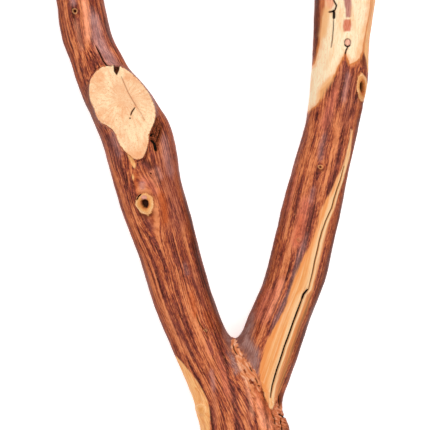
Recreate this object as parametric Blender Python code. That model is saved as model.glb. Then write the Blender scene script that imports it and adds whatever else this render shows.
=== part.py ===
"""A forked branch, peeled and smoothed, lying on its side.

The branch is one grown piece, split at its main fork into a stem and two limbs.
It lies in the XY plane with its stem towards -Y, and rests on the floor at z = 0.
Dimensions are in millimetres, and turn into metres where a mesh is made.
"""
import math

import bmesh
import bpy
import numpy as np
from mathutils import Vector

MM = 0.001

# Driving dimensions
FORK_Y = -98.0
GAP = 0.3
LEFT_END_Y = 214.0
RIGHT_END_Y = 212.0
STEM_END_Y = -215.0
BLEND = 17.0
DEPTH_RATIO = 0.95
SQUARE_UP = 60.0

# The grown line of the left limb and stem: x, y, height, half width
MAIN_LINE = [
    (-115.9, 227.6, 16.8, 18.8),
    (-106.3, 178.0, 19.0, 19.2),
    (-99.5, 146.0, 21.6, 20.5),
    (-92.4, 130.0, 24.6, 21.9),
    (-86.0, 114.0, 26.2, 23.4),
    (-76.0, 98.0, 27.8, 27.8),
    (-66.8, 82.0, 28.6, 30.1),
    (-60.8, 66.0, 29.6, 29.3),
    (-53.1, 34.0, 30.6, 27.5),
    (-43.6, 2.0, 29.8, 26.8),
    (-33.4, -30.0, 29.1, 24.7),
    (-23.4, -62.0, 28.7, 24.8),
    (-7.3, -102.0, 29.0, 24.9),
    (15.6, -150.0, 30.1, 29.6),
    (21.3, -166.0, 30.7, 31.9),
    (26.9, -214.0, 31.0, 31.7),
    (27.7, -240.0, 31.2, 31.3),
]

# The grown line of the right limb, which sinks into the stem
RIGHT_LINE = [
    (108.7, 222.8, 22.6, 24.2),
    (106.1, 178.0, 23.9, 24.4),
    (103.3, 146.0, 25.7, 22.5),
    (100.9, 114.0, 27.3, 22.8),
    (95.6, 82.0, 28.8, 21.6),
    (87.6, 50.0, 29.9, 22.4),
    (80.3, 18.0, 30.6, 23.7),
    (72.8, -14.0, 30.8, 24.0),
    (65.4, -46.0, 30.7, 24.6),
    (52.8, -78.0, 30.2, 25.2),
    (41.9, -110.0, 29.8, 25.2),
    (32.0, -142.0, 29.9, 22.8),
    (29.6, -158.0, 29.9, 20.8),
    (28.0, -240.0, 30.4, 18.0),
]

# Swellings of the wood: x, y, height, reach, rise
SWELLINGS = [
    (58.0, -166.0, 29.0, 13.0, 5.5),
    (-9.5, -150.0, 42.0, 9.0, 2.4),
    (-90.0, 122.0, 42.0, 15.0, 3.0),
    (-54.0, 15.5, 56.0, 13.0, 1.6),
    (119.0, 112.0, 40.0, 9.0, 1.6),
    (-38.0, -40.0, 6.0, 16.0, 2.2),
    (96.0, 60.0, 8.0, 14.0, 2.0),
]

# Long shallow flutes: turns per ring, drift along the limb, rise
FLUTES = [(3, 0.017, 0.45), (5, -0.023, 0.30), (8, 0.031, 0.16)]

# Sawn stub of the side branch on the left limb
STUB_MIDDLE_Y = 90.0
STUB_TOP = 57.2
STUB_SLOPE = -0.09
STUB_DEPTH = 24.0
STUB_FLARE = 1.08
STUB_OUTLINE = [
    (-82.6, 124.8), (-76.0, 124.6), (-68.4, 121.0), (-58.5, 112.2), (-50.8, 102.3),
    (-45.9, 90.2), (-46.4, 80.4), (-50.6, 70.0), (-51.0, 63.9), (-54.2, 54.0),
    (-57.4, 50.2), (-62.9, 50.8), (-69.5, 56.2), (-73.8, 61.8), (-78.2, 71.6),
    (-82.6, 76.0), (-89.2, 79.8), (-92.5, 84.7), (-94.7, 91.4), (-97.4, 97.9),
    (-98.6, 105.6), (-97.4, 112.2), (-93.6, 118.8), (-88.6, 123.1),
]

# Knot collars and holes: x, y, half width, half length
LEFT_KNOT = (-54.4, 15.6, 7.4, 8.6)
LEFT_KNOT_HOLE = (-54.2, 16.8, 2.9, 3.3)
RIGHT_KNOT = (118.7, 111.6, 3.9, 9.6)
RIGHT_KNOT_HOLE = (118.7, 111.6, 1.5, 3.9)
PLUG_KNOT = (108.0, 144.0, 2.6, 3.2)
COLLAR_RISE = 1.2
HOLE_DEPTH = 4.5

# Bark ridge in the fork and the drying crack of the right limb: x, y
BARK_RIDGE = [(17.0, -99.8), (17.2, -103.0), (21.6, -108.4), (28.8, -117.2), (36.0, -124.0), (37.2, -131.0)]
RIDGE_RADIUS = 3.2
RIDGE_SINK = 1.2
DRYING_CRACK = [
    (92.4, 5.2), (87.7, -6.8), (84.0, -17.2), (81.6, -29.2), (75.2, -54.8), (65.4, -79.6),
    (56.0, -104.4), (51.2, -118.0), (46.4, -139.6),
]
CRACK_RADIUS = 0.8
CRACK_SINK = 0.1


def clear_scene():
    for thing in list(bpy.data.objects):
        bpy.data.objects.remove(thing, do_unlink=True)


def line_at(stations, y):
    """Values of a grown line at heights y, on a smooth curve through its stations."""
    table = np.array(sorted(stations, key=lambda row: row[1]))
    knots = table[:, 1]
    values = table[:, [0, 2, 3]]
    slopes = np.gradient(values, knots, axis=0)
    y = np.clip(y, knots[0], knots[-1])
    index = np.clip(np.searchsorted(knots, y, side="right") - 1, 0, len(knots) - 2)
    span = (knots[index + 1] - knots[index])[..., None]
    t = (y - knots[index])[..., None] / span
    start = (2 * t**3 - 3 * t**2 + 1) * values[index] + (t**3 - 2 * t**2 + t) * span * slopes[index]
    end = (3 * t**2 - 2 * t**3) * values[index + 1] + (t**3 - t**2) * span * slopes[index + 1]
    blended = start + end
    return blended[..., 0], blended[..., 1], blended[..., 2]


def line_direction(stations, y):
    """Unit direction of a grown line at one height y."""
    ahead = line_at(stations, np.array([y + 2.0]))
    behind = line_at(stations, np.array([y - 2.0]))
    direction = np.array([ahead[0][0] - behind[0][0], 4.0, ahead[1][0] - behind[1][0]])
    return direction / np.linalg.norm(direction)


def limb_depth(stations, points):
    """Distance of points outside one limb, negative inside."""
    x, y, z = points[..., 0], points[..., 1], points[..., 2]
    middle_x, middle_z, half = line_at(stations, y)
    lean = (line_at(stations, y + 2.0)[0] - line_at(stations, y - 2.0)[0]) / 4.0
    squash = 1.0 / np.sqrt(1.0 + lean**2)
    across = (x - middle_x) * squash
    upward = (z - middle_z) / DEPTH_RATIO
    angle = np.arctan2(upward, across)
    rise = sum(amount * np.sin(turns * angle + drift * y * turns) for turns, drift, amount in FLUTES)
    return np.hypot(across, upward) - half * squash - rise


def smooth_least(a, b, width):
    """The lesser of two distances, rounded where they are alike."""
    share = np.clip(width - np.abs(a - b), 0.0, None) / width
    return np.minimum(a, b) - share**2 * width / 4.0


def swell(points):
    """How far the swellings push the surface out."""
    total = np.zeros(points.shape[:-1])
    for x, y, z, reach, rise in SWELLINGS:
        away = ((points - np.array([x, y, z])) ** 2).sum(axis=-1)
        total += rise * np.exp(-away / reach**2)
    return total


def wood_depth(points):
    """Distance of points outside the whole branch, negative inside."""
    main = limb_depth(MAIN_LINE, points)
    right = limb_depth(RIGHT_LINE, points)
    return smooth_least(main, right, BLEND) - swell(points)


def left_side(points):
    """Negative in the left limb's half of the fork."""
    return (limb_depth(MAIN_LINE, points) - limb_depth(RIGHT_LINE, points)) / 2.0 + GAP / 2.0


def right_side(points):
    """Negative in the right limb's half of the fork."""
    return (limb_depth(RIGHT_LINE, points) - limb_depth(MAIN_LINE, points)) / 2.0 + GAP / 2.0


def stem_side(points):
    """The stem has both halves."""
    return np.full(points.shape[:-1], -1.0)


def reach_surface(centres, directions, side):
    """Length of each ray from inside the wood to its surface, by halving."""
    near = np.zeros(centres.shape[:-1])
    far = np.full(centres.shape[:-1], 75.0)
    for _ in range(26):
        middle = (near + far) / 2.0
        points = centres + directions * middle[..., None]
        inside = np.maximum(wood_depth(points), side(points)) < 0.0
        near = np.where(inside, middle, near)
        far = np.where(inside, far, middle)
    return (near + far) / 2.0


def top_height(x, y):
    """Height of the upper surface above one place of the floor."""
    low, high = 28.0, 90.0
    for _ in range(26):
        middle = (low + high) / 2.0
        inside = wood_depth(np.array([x, y, middle])) < 0.0
        low, high = (middle, high) if inside else (low, middle)
    return low


def new_object(name, mesh_builder):
    """A smooth-shaded object from a bmesh in millimetres."""
    bmesh.ops.recalc_face_normals(mesh_builder, faces=mesh_builder.faces)
    for vertex in mesh_builder.verts:
        vertex.co *= MM
    mesh = bpy.data.meshes.new(name)
    mesh_builder.to_mesh(mesh)
    mesh_builder.free()
    mesh.shade_smooth()
    mesh.set_sharp_from_angle(angle=math.radians(38.0))
    thing = bpy.data.objects.new(name, mesh)
    bpy.context.collection.objects.link(thing)
    return thing


def loft(rings):
    """A closed bmesh through rings of points, with a flat face on each end."""
    builder = bmesh.new()
    rows = [[builder.verts.new(Vector(point)) for point in ring] for ring in rings]
    count = len(rows[0])
    for lower, upper in zip(rows, rows[1:]):
        for i in range(count):
            j = (i + 1) % count
            builder.faces.new((lower[i], lower[j], upper[j], upper[i]))
    builder.faces.new(rows[0])
    builder.faces.new(rows[-1])
    return builder


def grown_rings(centres, normals, side, segments):
    """Rings on the wood's surface, in the planes given by centres and normals."""
    sideways = np.array([1.0, 0.0, 0.0]) - normals * normals[:, :1]
    sideways /= np.linalg.norm(sideways, axis=1)[:, None]
    upwards = np.cross(sideways, normals)
    angles = np.arange(segments) * math.tau / segments
    directions = (
        np.cos(angles)[None, :, None] * sideways[:, None, :]
        + np.sin(angles)[None, :, None] * upwards[:, None, :]
    )
    starts = np.repeat(centres[:, None, :], segments, axis=1)
    return starts + directions * reach_surface(starts, directions, side)[..., None]


def make_limb(name, stations, end_y, side, ring_count, segments):
    """One limb, cut level at the fork and square across at its sawn end."""
    heights = np.linspace(FORK_Y + GAP / 2.0, end_y, ring_count)
    centre_x, centre_z, _ = line_at(stations, heights)
    centres = np.stack([centre_x, heights, centre_z], axis=1)
    normals = []
    for height in heights:
        turn = min(1.0, (height - heights[0]) / SQUARE_UP)
        normal = (1.0 - turn) * np.array([0.0, 1.0, 0.0]) + turn * line_direction(stations, height)
        normals.append(normal / np.linalg.norm(normal))
    return new_object(name, loft(grown_rings(centres, np.array(normals), side, segments)))


def make_stem(name, ring_count, segments):
    """The stem below the fork, whose middle moves from between the limbs to its own line."""
    heights = np.linspace(FORK_Y - GAP / 2.0, STEM_END_Y, ring_count)
    main_x, main_z, _ = line_at(MAIN_LINE, heights)
    right_x, _, _ = line_at(RIGHT_LINE, heights)
    share = np.clip((heights - FORK_Y) / (STEM_END_Y / 2.0 - FORK_Y + GAP) / 6.0, 0.0, 1.0)
    centre_x = main_x + (right_x - main_x) * 0.5 * (1.0 - share)
    centres = np.stack([centre_x, heights, main_z], axis=1)
    normals = []
    for height in heights:
        turn = min(1.0, (heights[0] - height) / SQUARE_UP)
        normal = (1.0 - turn) * np.array([0.0, 1.0, 0.0]) + turn * line_direction(MAIN_LINE, height)
        normals.append(normal / np.linalg.norm(normal))
    return new_object(name, loft(grown_rings(centres, np.array(normals), stem_side, segments)))


def make_stub(name):
    """The sawn stub: a flat oval face on a base that flares into the limb."""
    outline = np.array(STUB_OUTLINE)
    middle = outline.mean(axis=0)
    rings = []
    for share in (0.0, 0.08, 0.4, 1.0):
        grown = middle + (outline - middle) * (1.0 + (STUB_FLARE - 1.0) * math.sqrt(share))
        sunk = STUB_TOP - STUB_DEPTH * share
        rings.append([(x, y, sunk + STUB_SLOPE * (y - STUB_MIDDLE_Y)) for x, y in grown])
    return new_object(name, loft(rings))


def make_pebble(name, place, depth_radius, lift):
    """An ellipsoid at a place of the surface, for a knot's collar or its hole."""
    x, y, half_width, half_length = place
    builder = bmesh.new()
    bmesh.ops.create_icosphere(builder, subdivisions=2, radius=1.0)
    for vertex in builder.verts:
        vertex.co.x = x + vertex.co.x * half_width
        vertex.co.y = y + vertex.co.y * half_length
        vertex.co.z = top_height(x, y) + lift + vertex.co.z * depth_radius
    return new_object(name, builder)


def make_surface_cord(name, path, radius, sink, segments):
    """A thin cord along the upper surface, with narrow ends."""
    places = []
    for (x0, y0), (x1, y1) in zip(path, path[1:]):
        places += [(x0, y0), ((x0 + x1) / 2.0, (y0 + y1) / 2.0)]
    places.append(path[-1])
    rings = []
    for i, (x, y) in enumerate(places):
        before = places[max(i - 1, 0)]
        after = places[min(i + 1, len(places) - 1)]
        sideways = Vector((after[1] - before[1], before[0] - after[0], 0.0)).normalized()
        middle = Vector((x, y, top_height(x, y) - sink))
        taper = 0.35 + 0.65 * math.sin(math.pi * i / (len(places) - 1)) ** 0.5
        ring = []
        for k in range(segments):
            angle = math.tau * k / segments
            offset = sideways * math.cos(angle) + Vector((0.0, 0.0, math.sin(angle)))
            ring.append(middle + offset * radius * taper)
        rings.append(ring)
    return new_object(name, loft(rings))


def combine(target, tool, operation):
    """Join a shape to the target or cut it away, and hide the tool."""
    tool.hide_render = True
    tool.display_type = "WIRE"
    modifier = target.modifiers.new(tool.name, "BOOLEAN")
    modifier.operation = operation
    modifier.solver = "EXACT"
    modifier.object = tool


def oiled_wood(name, colour, roughness):
    """Oiled heartwood of one branch piece."""
    material = bpy.data.materials.new(name)
    material.use_nodes = True
    shader = material.node_tree.nodes["Principled BSDF"]
    shader.inputs["Base Color"].default_value = (*colour, 1.0)
    shader.inputs["Roughness"].default_value = roughness
    shader.inputs["Metallic"].default_value = 0.0
    return material


def build():
    clear_scene()

    left = make_limb("left_limb", MAIN_LINE, LEFT_END_Y, left_side, 56, 28)
    combine(left, make_stub("stub_tool"), "UNION")
    combine(left, make_pebble("left_knot_tool", LEFT_KNOT, 3.0, COLLAR_RISE - 3.0), "UNION")
    combine(left, make_pebble("left_knot_hole_tool", LEFT_KNOT_HOLE, HOLE_DEPTH, 1.0), "DIFFERENCE")

    right = make_limb("right_limb", RIGHT_LINE, RIGHT_END_Y, right_side, 56, 28)
    combine(right, make_pebble("right_knot_tool", RIGHT_KNOT, 3.0, COLLAR_RISE - 3.0), "UNION")
    combine(right, make_pebble("right_knot_hole_tool", RIGHT_KNOT_HOLE, HOLE_DEPTH, 1.0), "DIFFERENCE")
    combine(right, make_pebble("plug_knot_tool", PLUG_KNOT, 2.0, COLLAR_RISE - 2.0), "UNION")

    stem = make_stem("stem", 22, 44)
    ridge = make_surface_cord("bark_ridge_tool", BARK_RIDGE, RIDGE_RADIUS, RIDGE_SINK, 8)
    combine(stem, ridge, "UNION")
    crack = make_surface_cord("crack_tool", DRYING_CRACK, CRACK_RADIUS, CRACK_SINK, 6)
    combine(right, crack, "DIFFERENCE")
    combine(stem, crack, "DIFFERENCE")

    left.data.materials.append(oiled_wood("left_limb_wood", (0.41, 0.10, 0.048), 0.34))
    right.data.materials.append(oiled_wood("right_limb_wood", (0.48, 0.14, 0.072), 0.34))
    stem.data.materials.append(oiled_wood("stem_wood", (0.49, 0.14, 0.074), 0.38))


build()
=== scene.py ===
"""Looks of the forked branch: three pieces of oiled wood cut from one seamless skin, seen from above.

The surface is a distance field in millimetres, grown from the same lines as the solids. Features of
the photograph are placed in its pixels, and photo_place turns those into millimetres.
"""

import math

import bmesh
import bpy
import numpy as np
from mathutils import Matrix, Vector


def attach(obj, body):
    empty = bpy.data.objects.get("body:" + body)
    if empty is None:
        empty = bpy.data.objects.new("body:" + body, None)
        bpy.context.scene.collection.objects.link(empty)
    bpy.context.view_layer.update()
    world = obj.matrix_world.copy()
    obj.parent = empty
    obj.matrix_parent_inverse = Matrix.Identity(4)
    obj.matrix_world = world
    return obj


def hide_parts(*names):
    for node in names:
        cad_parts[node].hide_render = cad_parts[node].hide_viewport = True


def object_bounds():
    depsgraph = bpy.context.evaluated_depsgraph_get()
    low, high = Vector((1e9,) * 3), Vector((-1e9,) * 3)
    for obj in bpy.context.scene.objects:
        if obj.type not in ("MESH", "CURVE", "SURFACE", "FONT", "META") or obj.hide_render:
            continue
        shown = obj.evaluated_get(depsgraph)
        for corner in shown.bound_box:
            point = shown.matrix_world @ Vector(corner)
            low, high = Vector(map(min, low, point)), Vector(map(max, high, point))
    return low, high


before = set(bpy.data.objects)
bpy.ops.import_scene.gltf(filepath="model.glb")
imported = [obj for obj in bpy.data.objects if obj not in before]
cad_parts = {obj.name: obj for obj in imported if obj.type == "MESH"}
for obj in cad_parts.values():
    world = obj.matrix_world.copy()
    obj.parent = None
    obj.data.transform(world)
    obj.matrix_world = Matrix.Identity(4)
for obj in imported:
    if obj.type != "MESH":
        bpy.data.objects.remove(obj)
cad_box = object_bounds()

MM = 0.001

# The photograph's scale and its middle in the row frame
PIXEL = 0.8
MIDDLE_PX = (213.0, 222.5)
PHOTO_SIDE = 430
CAMERA_HEIGHT = 3000.0
SENSOR = 36.0
WIDEST_HEIGHT = 29.0
UPPER_HEIGHT = 52.0

# Driving dimensions
LEFT_END_Y = 214.0
RIGHT_END_Y = 212.0
STEM_END_Y = -215.0
BLEND = 17.0
DEPTH_RATIO = 0.95
RIM_ROUND = 1.6
TYPICAL_RADIUS = 25.0
LEFT_LIMB_X = 10.0
FAR = 99.0

# Size of the skin's quads, how often they are halved near fine features, and how near that is
COARSE = 1.2
FINER_LEVELS = 2
FINE_REACHES = (1.9, 0.75)

# How far from an outline or a crack its distance is measured
OUTLINE_REACH = 12.0
CRACK_REACH = 9.0

# The grown line of the left limb and stem: x, y, height, half width
MAIN_LINE = [
    (-115.9, 227.6, 16.8, 18.8),
    (-106.3, 178.0, 19.0, 19.2),
    (-99.5, 146.0, 21.6, 20.5),
    (-92.4, 130.0, 24.6, 21.9),
    (-86.0, 114.0, 26.2, 23.4),
    (-76.0, 98.0, 27.8, 27.8),
    (-66.8, 82.0, 28.6, 30.1),
    (-60.8, 66.0, 29.6, 29.3),
    (-53.1, 34.0, 30.6, 27.5),
    (-43.6, 2.0, 29.8, 26.8),
    (-33.4, -30.0, 29.1, 24.7),
    (-23.4, -62.0, 28.7, 24.8),
    (-7.3, -102.0, 29.0, 24.9),
    (15.6, -150.0, 30.1, 29.6),
    (21.3, -166.0, 30.7, 31.9),
    (26.9, -214.0, 31.0, 31.7),
    (27.7, -240.0, 31.2, 31.3),
]

# The grown line of the right limb, which sinks into the stem
RIGHT_LINE = [
    (108.7, 222.8, 22.6, 24.2),
    (106.1, 178.0, 23.9, 24.4),
    (103.3, 146.0, 25.7, 22.5),
    (100.9, 114.0, 27.3, 22.8),
    (95.6, 82.0, 28.8, 21.6),
    (87.6, 50.0, 29.9, 22.4),
    (80.3, 18.0, 30.6, 23.7),
    (72.8, -14.0, 30.8, 24.0),
    (65.4, -46.0, 30.7, 24.6),
    (52.8, -78.0, 30.2, 25.2),
    (41.9, -110.0, 29.8, 25.2),
    (32.0, -142.0, 29.9, 22.8),
    (29.6, -158.0, 29.9, 20.8),
    (28.0, -240.0, 30.4, 18.0),
]

# Studio: sine of the elevation and brightness of the sky, its strength, and the floor's reach and glow
SKY_STOPS = [(0.0, 0.95), (0.06, 0.95), (0.12, 0.22), (0.50, 0.22), (0.80, 0.60), (1.0, 0.60)]
SKY_STRENGTH = 1.0
FLOOR_REACH = 40.0
FLOOR_GLOW = 0.50

# The two soft suns: name, direction towards it, strength and width in degrees
SUNS = [
    ("key", (0.35, 0.40, 1.0), 1.45, 44.0),
    ("fill", (-0.45, -0.1, 1.0), 0.80, 56.0),
]

# Where the branch is parted at its fork, in the planes of the solids
FORK_Y = -98.0
FORK_MIDDLE_X = 17.4
BELOW_FORK = ((0.0, FORK_Y, 0.0), (0.0, 1.0, 0.0))
ABOVE_FORK = ((0.0, FORK_Y, 0.0), (0.0, -1.0, 0.0))
LEFT_OF_FORK = ((FORK_MIDDLE_X, 0.0, 0.0), (1.0, 0.0, 0.0))
RIGHT_OF_FORK = ((FORK_MIDDLE_X, 0.0, 0.0), (-1.0, 0.0, 0.0))
PIECES = [
    ("stem_wood", "stem", [BELOW_FORK]),
    ("left_limb_wood", "left_limb", [ABOVE_FORK, LEFT_OF_FORK]),
    ("right_limb_wood", "right_limb", [ABOVE_FORK, RIGHT_OF_FORK]),
]

# Shift that brings the middle of the rings on the stub's face to zero
FACE_SHIFT = (72.0, -98.0, 0.0)

# Pith of the sawn ends: how far off their middle, its distance where none is near, and an end's reach
PITH_OFFSET = np.array([3.0, 0.0, -4.0])
PITH_FAR = 30.0
END_REACH = 60.0

# Sawn ends: grown line and height along it
SAWN_ENDS = [(MAIN_LINE, LEFT_END_Y), (RIGHT_LINE, RIGHT_END_Y), (MAIN_LINE, STEM_END_Y)]

# Rough tubes that the skin starts from: grown line, lowest and highest y, and y of the ends to saw
ROUGH_TUBES = [
    (MAIN_LINE, STEM_END_Y - 14.0, LEFT_END_Y + 12.0, (LEFT_END_Y, STEM_END_Y)),
    (RIGHT_LINE, -170.0, RIGHT_END_Y + 8.0, (RIGHT_END_Y,)),
]

# Swellings of the wood: x, y, height, reach, rise
SWELLINGS = [
    (58.0, -166.0, 29.0, 13.0, 5.5),
    (-9.5, -150.0, 42.0, 9.0, 2.4),
    (-90.0, 122.0, 42.0, 15.0, 3.0),
    (-54.0, 15.5, 56.0, 13.0, 1.6),
    (119.0, 112.0, 40.0, 9.0, 1.6),
    (-38.0, -40.0, 6.0, 16.0, 2.2),
    (96.0, 60.0, 8.0, 14.0, 2.0),
]

# Long shallow flutes: turns per ring, drift along the limb, rise
FLUTES = [(3, 0.009, 0.40), (5, -0.011, 0.22), (8, 0.017, 0.10)]

# Sawn stub of the side branch on the left limb
STUB_MIDDLE_Y = 90.0
STUB_TOP = 57.2
STUB_SLOPE = -0.09
STUB_BLEND = 4.5
STUB_FLARE = 0.05
STUB_DEPTH = 27.0
STUB_REACH = 40.0
FACE_ROUND = 0.7
STUB_OUTLINE = [
    (-82.6, 124.8), (-76.0, 124.6), (-68.4, 121.0), (-58.5, 112.2), (-50.8, 102.3),
    (-45.9, 90.2), (-46.4, 80.4), (-50.6, 70.0), (-51.0, 63.9), (-54.2, 54.0),
    (-57.4, 50.2), (-62.9, 50.8), (-69.5, 56.2), (-73.8, 61.8), (-78.2, 71.6),
    (-82.6, 76.0), (-89.2, 79.8), (-92.5, 84.7), (-94.7, 91.4), (-97.4, 97.9),
    (-98.6, 105.6), (-97.4, 112.2), (-93.6, 118.8), (-88.6, 123.1),
]


def curve_between(t, start, leaving, end, arriving):
    """Values on a smooth curve between two values, with the slopes given at both."""
    first = (2 * t**3 - 3 * t**2 + 1) * start + (t**3 - 2 * t**2 + t) * leaving
    last = (3 * t**2 - 2 * t**3) * end + (t**3 - t**2) * arriving
    return first + last


def line_at(stations, y):
    """Middle x, middle z and half width of a grown line at heights y."""
    table = np.array(sorted(stations, key=lambda row: row[1]))
    knots = table[:, 1]
    values = table[:, [0, 2, 3]]
    slopes = np.gradient(values, knots, axis=0)
    y = np.clip(y, knots[0], knots[-1])
    index = np.clip(np.searchsorted(knots, y, side="right") - 1, 0, len(knots) - 2)
    span = (knots[index + 1] - knots[index])[..., None]
    t = (y - knots[index])[..., None] / span
    leaving, arriving = span * slopes[index], span * slopes[index + 1]
    curve = curve_between(t, values[index], leaving, values[index + 1], arriving)
    return curve[..., 0], curve[..., 1], curve[..., 2]


def line_lean(stations, y):
    """How far a grown line moves sideways for each millimetre of y."""
    return (line_at(stations, y + 2.0)[0] - line_at(stations, y - 2.0)[0]) / 4.0


def line_point(stations, y):
    """The middle of a grown line at one height y."""
    x, z, _ = line_at(stations, np.array([y]))
    return np.array([x[0], y, z[0]])


def line_direction(stations, y):
    """Unit direction of a grown line at one height y."""
    step = line_point(stations, y + 2.0) - line_point(stations, y - 2.0)
    return step / np.linalg.norm(step)


def straightened(stations, points):
    """Place of points across a grown line, its half width and its flutes' rise there."""
    x, y, z = points[..., 0], points[..., 1], points[..., 2]
    middle_x, middle_z, half = line_at(stations, y)
    squash = 1.0 / np.sqrt(1.0 + line_lean(stations, y) ** 2)
    across = (x - middle_x) * squash
    upward = (z - middle_z) / DEPTH_RATIO
    angle = np.arctan2(upward, across)
    rise = sum(amount * np.sin(turns * angle + drift * y * turns) for turns, drift, amount in FLUTES)
    return across, upward, half * squash, rise


def limb_depth(stations, points):
    """Distance of points outside one limb, negative inside."""
    across, upward, half, rise = straightened(stations, points)
    return np.hypot(across, upward) - half - rise


def smooth_least(a, b, width):
    """The lesser of two distances, rounded where they are alike."""
    share = np.clip(width - np.abs(a - b), 0.0, None) / width
    return np.minimum(a, b) - share**2 * width / 4.0


def smooth_most(a, b, width):
    """The greater of two distances, rounded where they are alike."""
    return -smooth_least(-a, -b, width)


def swell(points):
    """How far the swellings push the surface out."""
    total = np.zeros(points.shape[:-1])
    for x, y, z, reach, rise in SWELLINGS:
        away = ((points - np.array([x, y, z])) ** 2).sum(axis=-1)
        total += rise * np.exp(-away / reach**2)
    return total


def rounded(outline, steps=6):
    """A closed outline as a smooth curve through its points."""
    points = np.array(outline)
    before, after, beyond = (np.roll(points, shift, 0) for shift in (1, -1, -2))
    t = (np.arange(steps) / steps)[None, :, None]
    leaving, arriving = (after - before)[:, None] / 2.0, (beyond - points)[:, None] / 2.0
    return curve_between(t, points[:, None], leaving, after[:, None], arriving).reshape(-1, 2)


def path_distance(x, y, path, closed=False):
    """Distance of places from a path, and how far along it they are, from 0 to 1."""
    corners = np.array(path)
    starts = corners if closed else corners[:-1]
    ends = np.roll(corners, -1, 0) if closed else corners[1:]
    run = ends - starts
    lengths = np.hypot(run[:, 0], run[:, 1])
    travelled = np.concatenate([[0.0], np.cumsum(lengths)])
    best = np.full(x.shape, 1e9)
    along = np.zeros(x.shape)
    for i, (start, step) in enumerate(zip(starts, run)):
        t = ((x - start[0]) * step[0] + (y - start[1]) * step[1]) / lengths[i] ** 2
        t = np.clip(t, 0.0, 1.0)
        away = np.hypot(x - start[0] - t * step[0], y - start[1] - t * step[1])
        nearer = away < best
        best = np.where(nearer, away, best)
        along = np.where(nearer, (travelled[i] + t * lengths[i]) / travelled[-1], along)
    return best, along


def inside_outline(x, y, outline):
    """True for places inside a closed outline."""
    inside = np.zeros(x.shape, bool)
    corners = np.array(outline)
    for (x0, y0), (x1, y1) in zip(corners, np.roll(corners, -1, 0)):
        if y0 == y1:
            continue
        crosses = (y0 > y) != (y1 > y)
        inside ^= crosses & (x < x0 + (y - y0) * (x1 - x0) / (y1 - y0))
    return inside


def near_path(points, path, reach):
    """Which points lie, seen from above, within reach of the box round a path."""
    x, y = points[:, 0], points[:, 1]
    low, high = path.min(0) - reach, path.max(0) + reach
    return (x > low[0]) & (x < high[0]) & (y > low[1]) & (y < high[1])


def outline_distance(points, outline, reach):
    """Signed distance of points from a closed outline seen from above, negative inside."""
    corners = np.array(outline)
    near = near_path(points, corners, reach)
    away = np.full(len(points), reach)
    if near.any():
        x, y = points[near, 0], points[near, 1]
        found, _ = path_distance(x, y, corners, closed=True)
        sign = np.where(inside_outline(x, y, corners), -1.0, 1.0)
        away[near] = np.minimum(found * sign, reach)
    return away


STUB_CURVE = rounded(STUB_OUTLINE)


def face_height(points):
    """Height of points above the plane of the stub's sawn face."""
    return points[..., 2] - STUB_TOP - STUB_SLOPE * (points[..., 1] - STUB_MIDDLE_Y)


def end_plane(stations, end_y):
    """Middle of a sawn end, and the direction that it faces."""
    outward = line_direction(stations, end_y) * (1.0 if end_y > 0.0 else -1.0)
    return line_point(stations, end_y), outward


def end_distance(stations, end_y, points):
    """Distance of points past the sawn end of a limb, negative on its side."""
    middle, outward = end_plane(stations, end_y)
    return (points - middle) @ outward


def wood_depth(points):
    """Distance of points outside the whole branch, negative inside."""
    x, z = points[:, 0], points[:, 2]
    main = limb_depth(MAIN_LINE, points)
    right = limb_depth(RIGHT_LINE, points)
    wood = smooth_least(main, right, BLEND) - swell(points)
    above_face = face_height(points)
    flare = STUB_FLARE * np.clip(-above_face, 0.0, 60.0)
    wall = outline_distance(points, STUB_CURVE, STUB_REACH) - flare
    wall = np.maximum(wall, STUB_TOP - STUB_DEPTH - z)
    wood = smooth_least(wood, wall, STUB_BLEND)
    wood = np.where(x < LEFT_LIMB_X, smooth_most(wood, above_face, FACE_ROUND), wood)
    left_end = np.where(x < 0.0, end_distance(MAIN_LINE, LEFT_END_Y, points), -FAR)
    right_end = np.where(x > 0.0, end_distance(RIGHT_LINE, RIGHT_END_Y, points), -FAR)
    ends = np.maximum(np.maximum(left_end, right_end), end_distance(MAIN_LINE, STEM_END_Y, points))
    return smooth_most(wood, ends, RIM_ROUND)


def depth_and_slope(points, step=0.05):
    """The distance field at points, with its slope."""
    slope = np.empty_like(points)
    for axis in range(3):
        offset = np.zeros(3)
        offset[axis] = step
        slope[:, axis] = (wood_depth(points + offset) - wood_depth(points - offset)) / (2 * step)
    return wood_depth(points), slope


def settle(points, rounds):
    """Points moved onto the surface along the field's slope, and the surface's normals."""
    for _ in range(rounds):
        depth, slope = depth_and_slope(points)
        steepness = np.clip((slope**2).sum(axis=1), 0.2, None)
        points = points - slope * np.clip(depth / steepness, -2.0, 2.0)[:, None]
    _, slope = depth_and_slope(points)
    return points, slope / np.linalg.norm(slope, axis=1)[:, None]


def placed(name, data):
    """A new object in the scene that shows the data given."""
    thing = bpy.data.objects.new(name, data)
    bpy.context.collection.objects.link(thing)
    return thing


def close_rows(builder, rows):
    """Faces between rows of corners, and over the first and the last row."""
    for lower, upper in zip(rows, rows[1:]):
        for k in range(len(lower)):
            j = (k + 1) % len(lower)
            builder.faces.new((lower[k], upper[k], upper[j], lower[j]))
    builder.faces.new(rows[0])
    builder.faces.new(rows[-1][::-1])


def rough_tube(builder, stations, low_y, high_y, rings=64, segments=40):
    """A closed tube along a grown line, reaching a little past both of its ends."""
    heights = np.linspace(low_y, high_y, rings)
    rows = []
    for x, z, radius, y in zip(*line_at(stations, heights), heights):
        row = []
        for k in range(segments):
            angle = math.tau * k / segments
            rise = radius * DEPTH_RATIO * math.sin(angle)
            row.append(builder.verts.new((x + radius * math.cos(angle), y, z + rise)))
        rows.append(row)
    close_rows(builder, rows)


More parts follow.
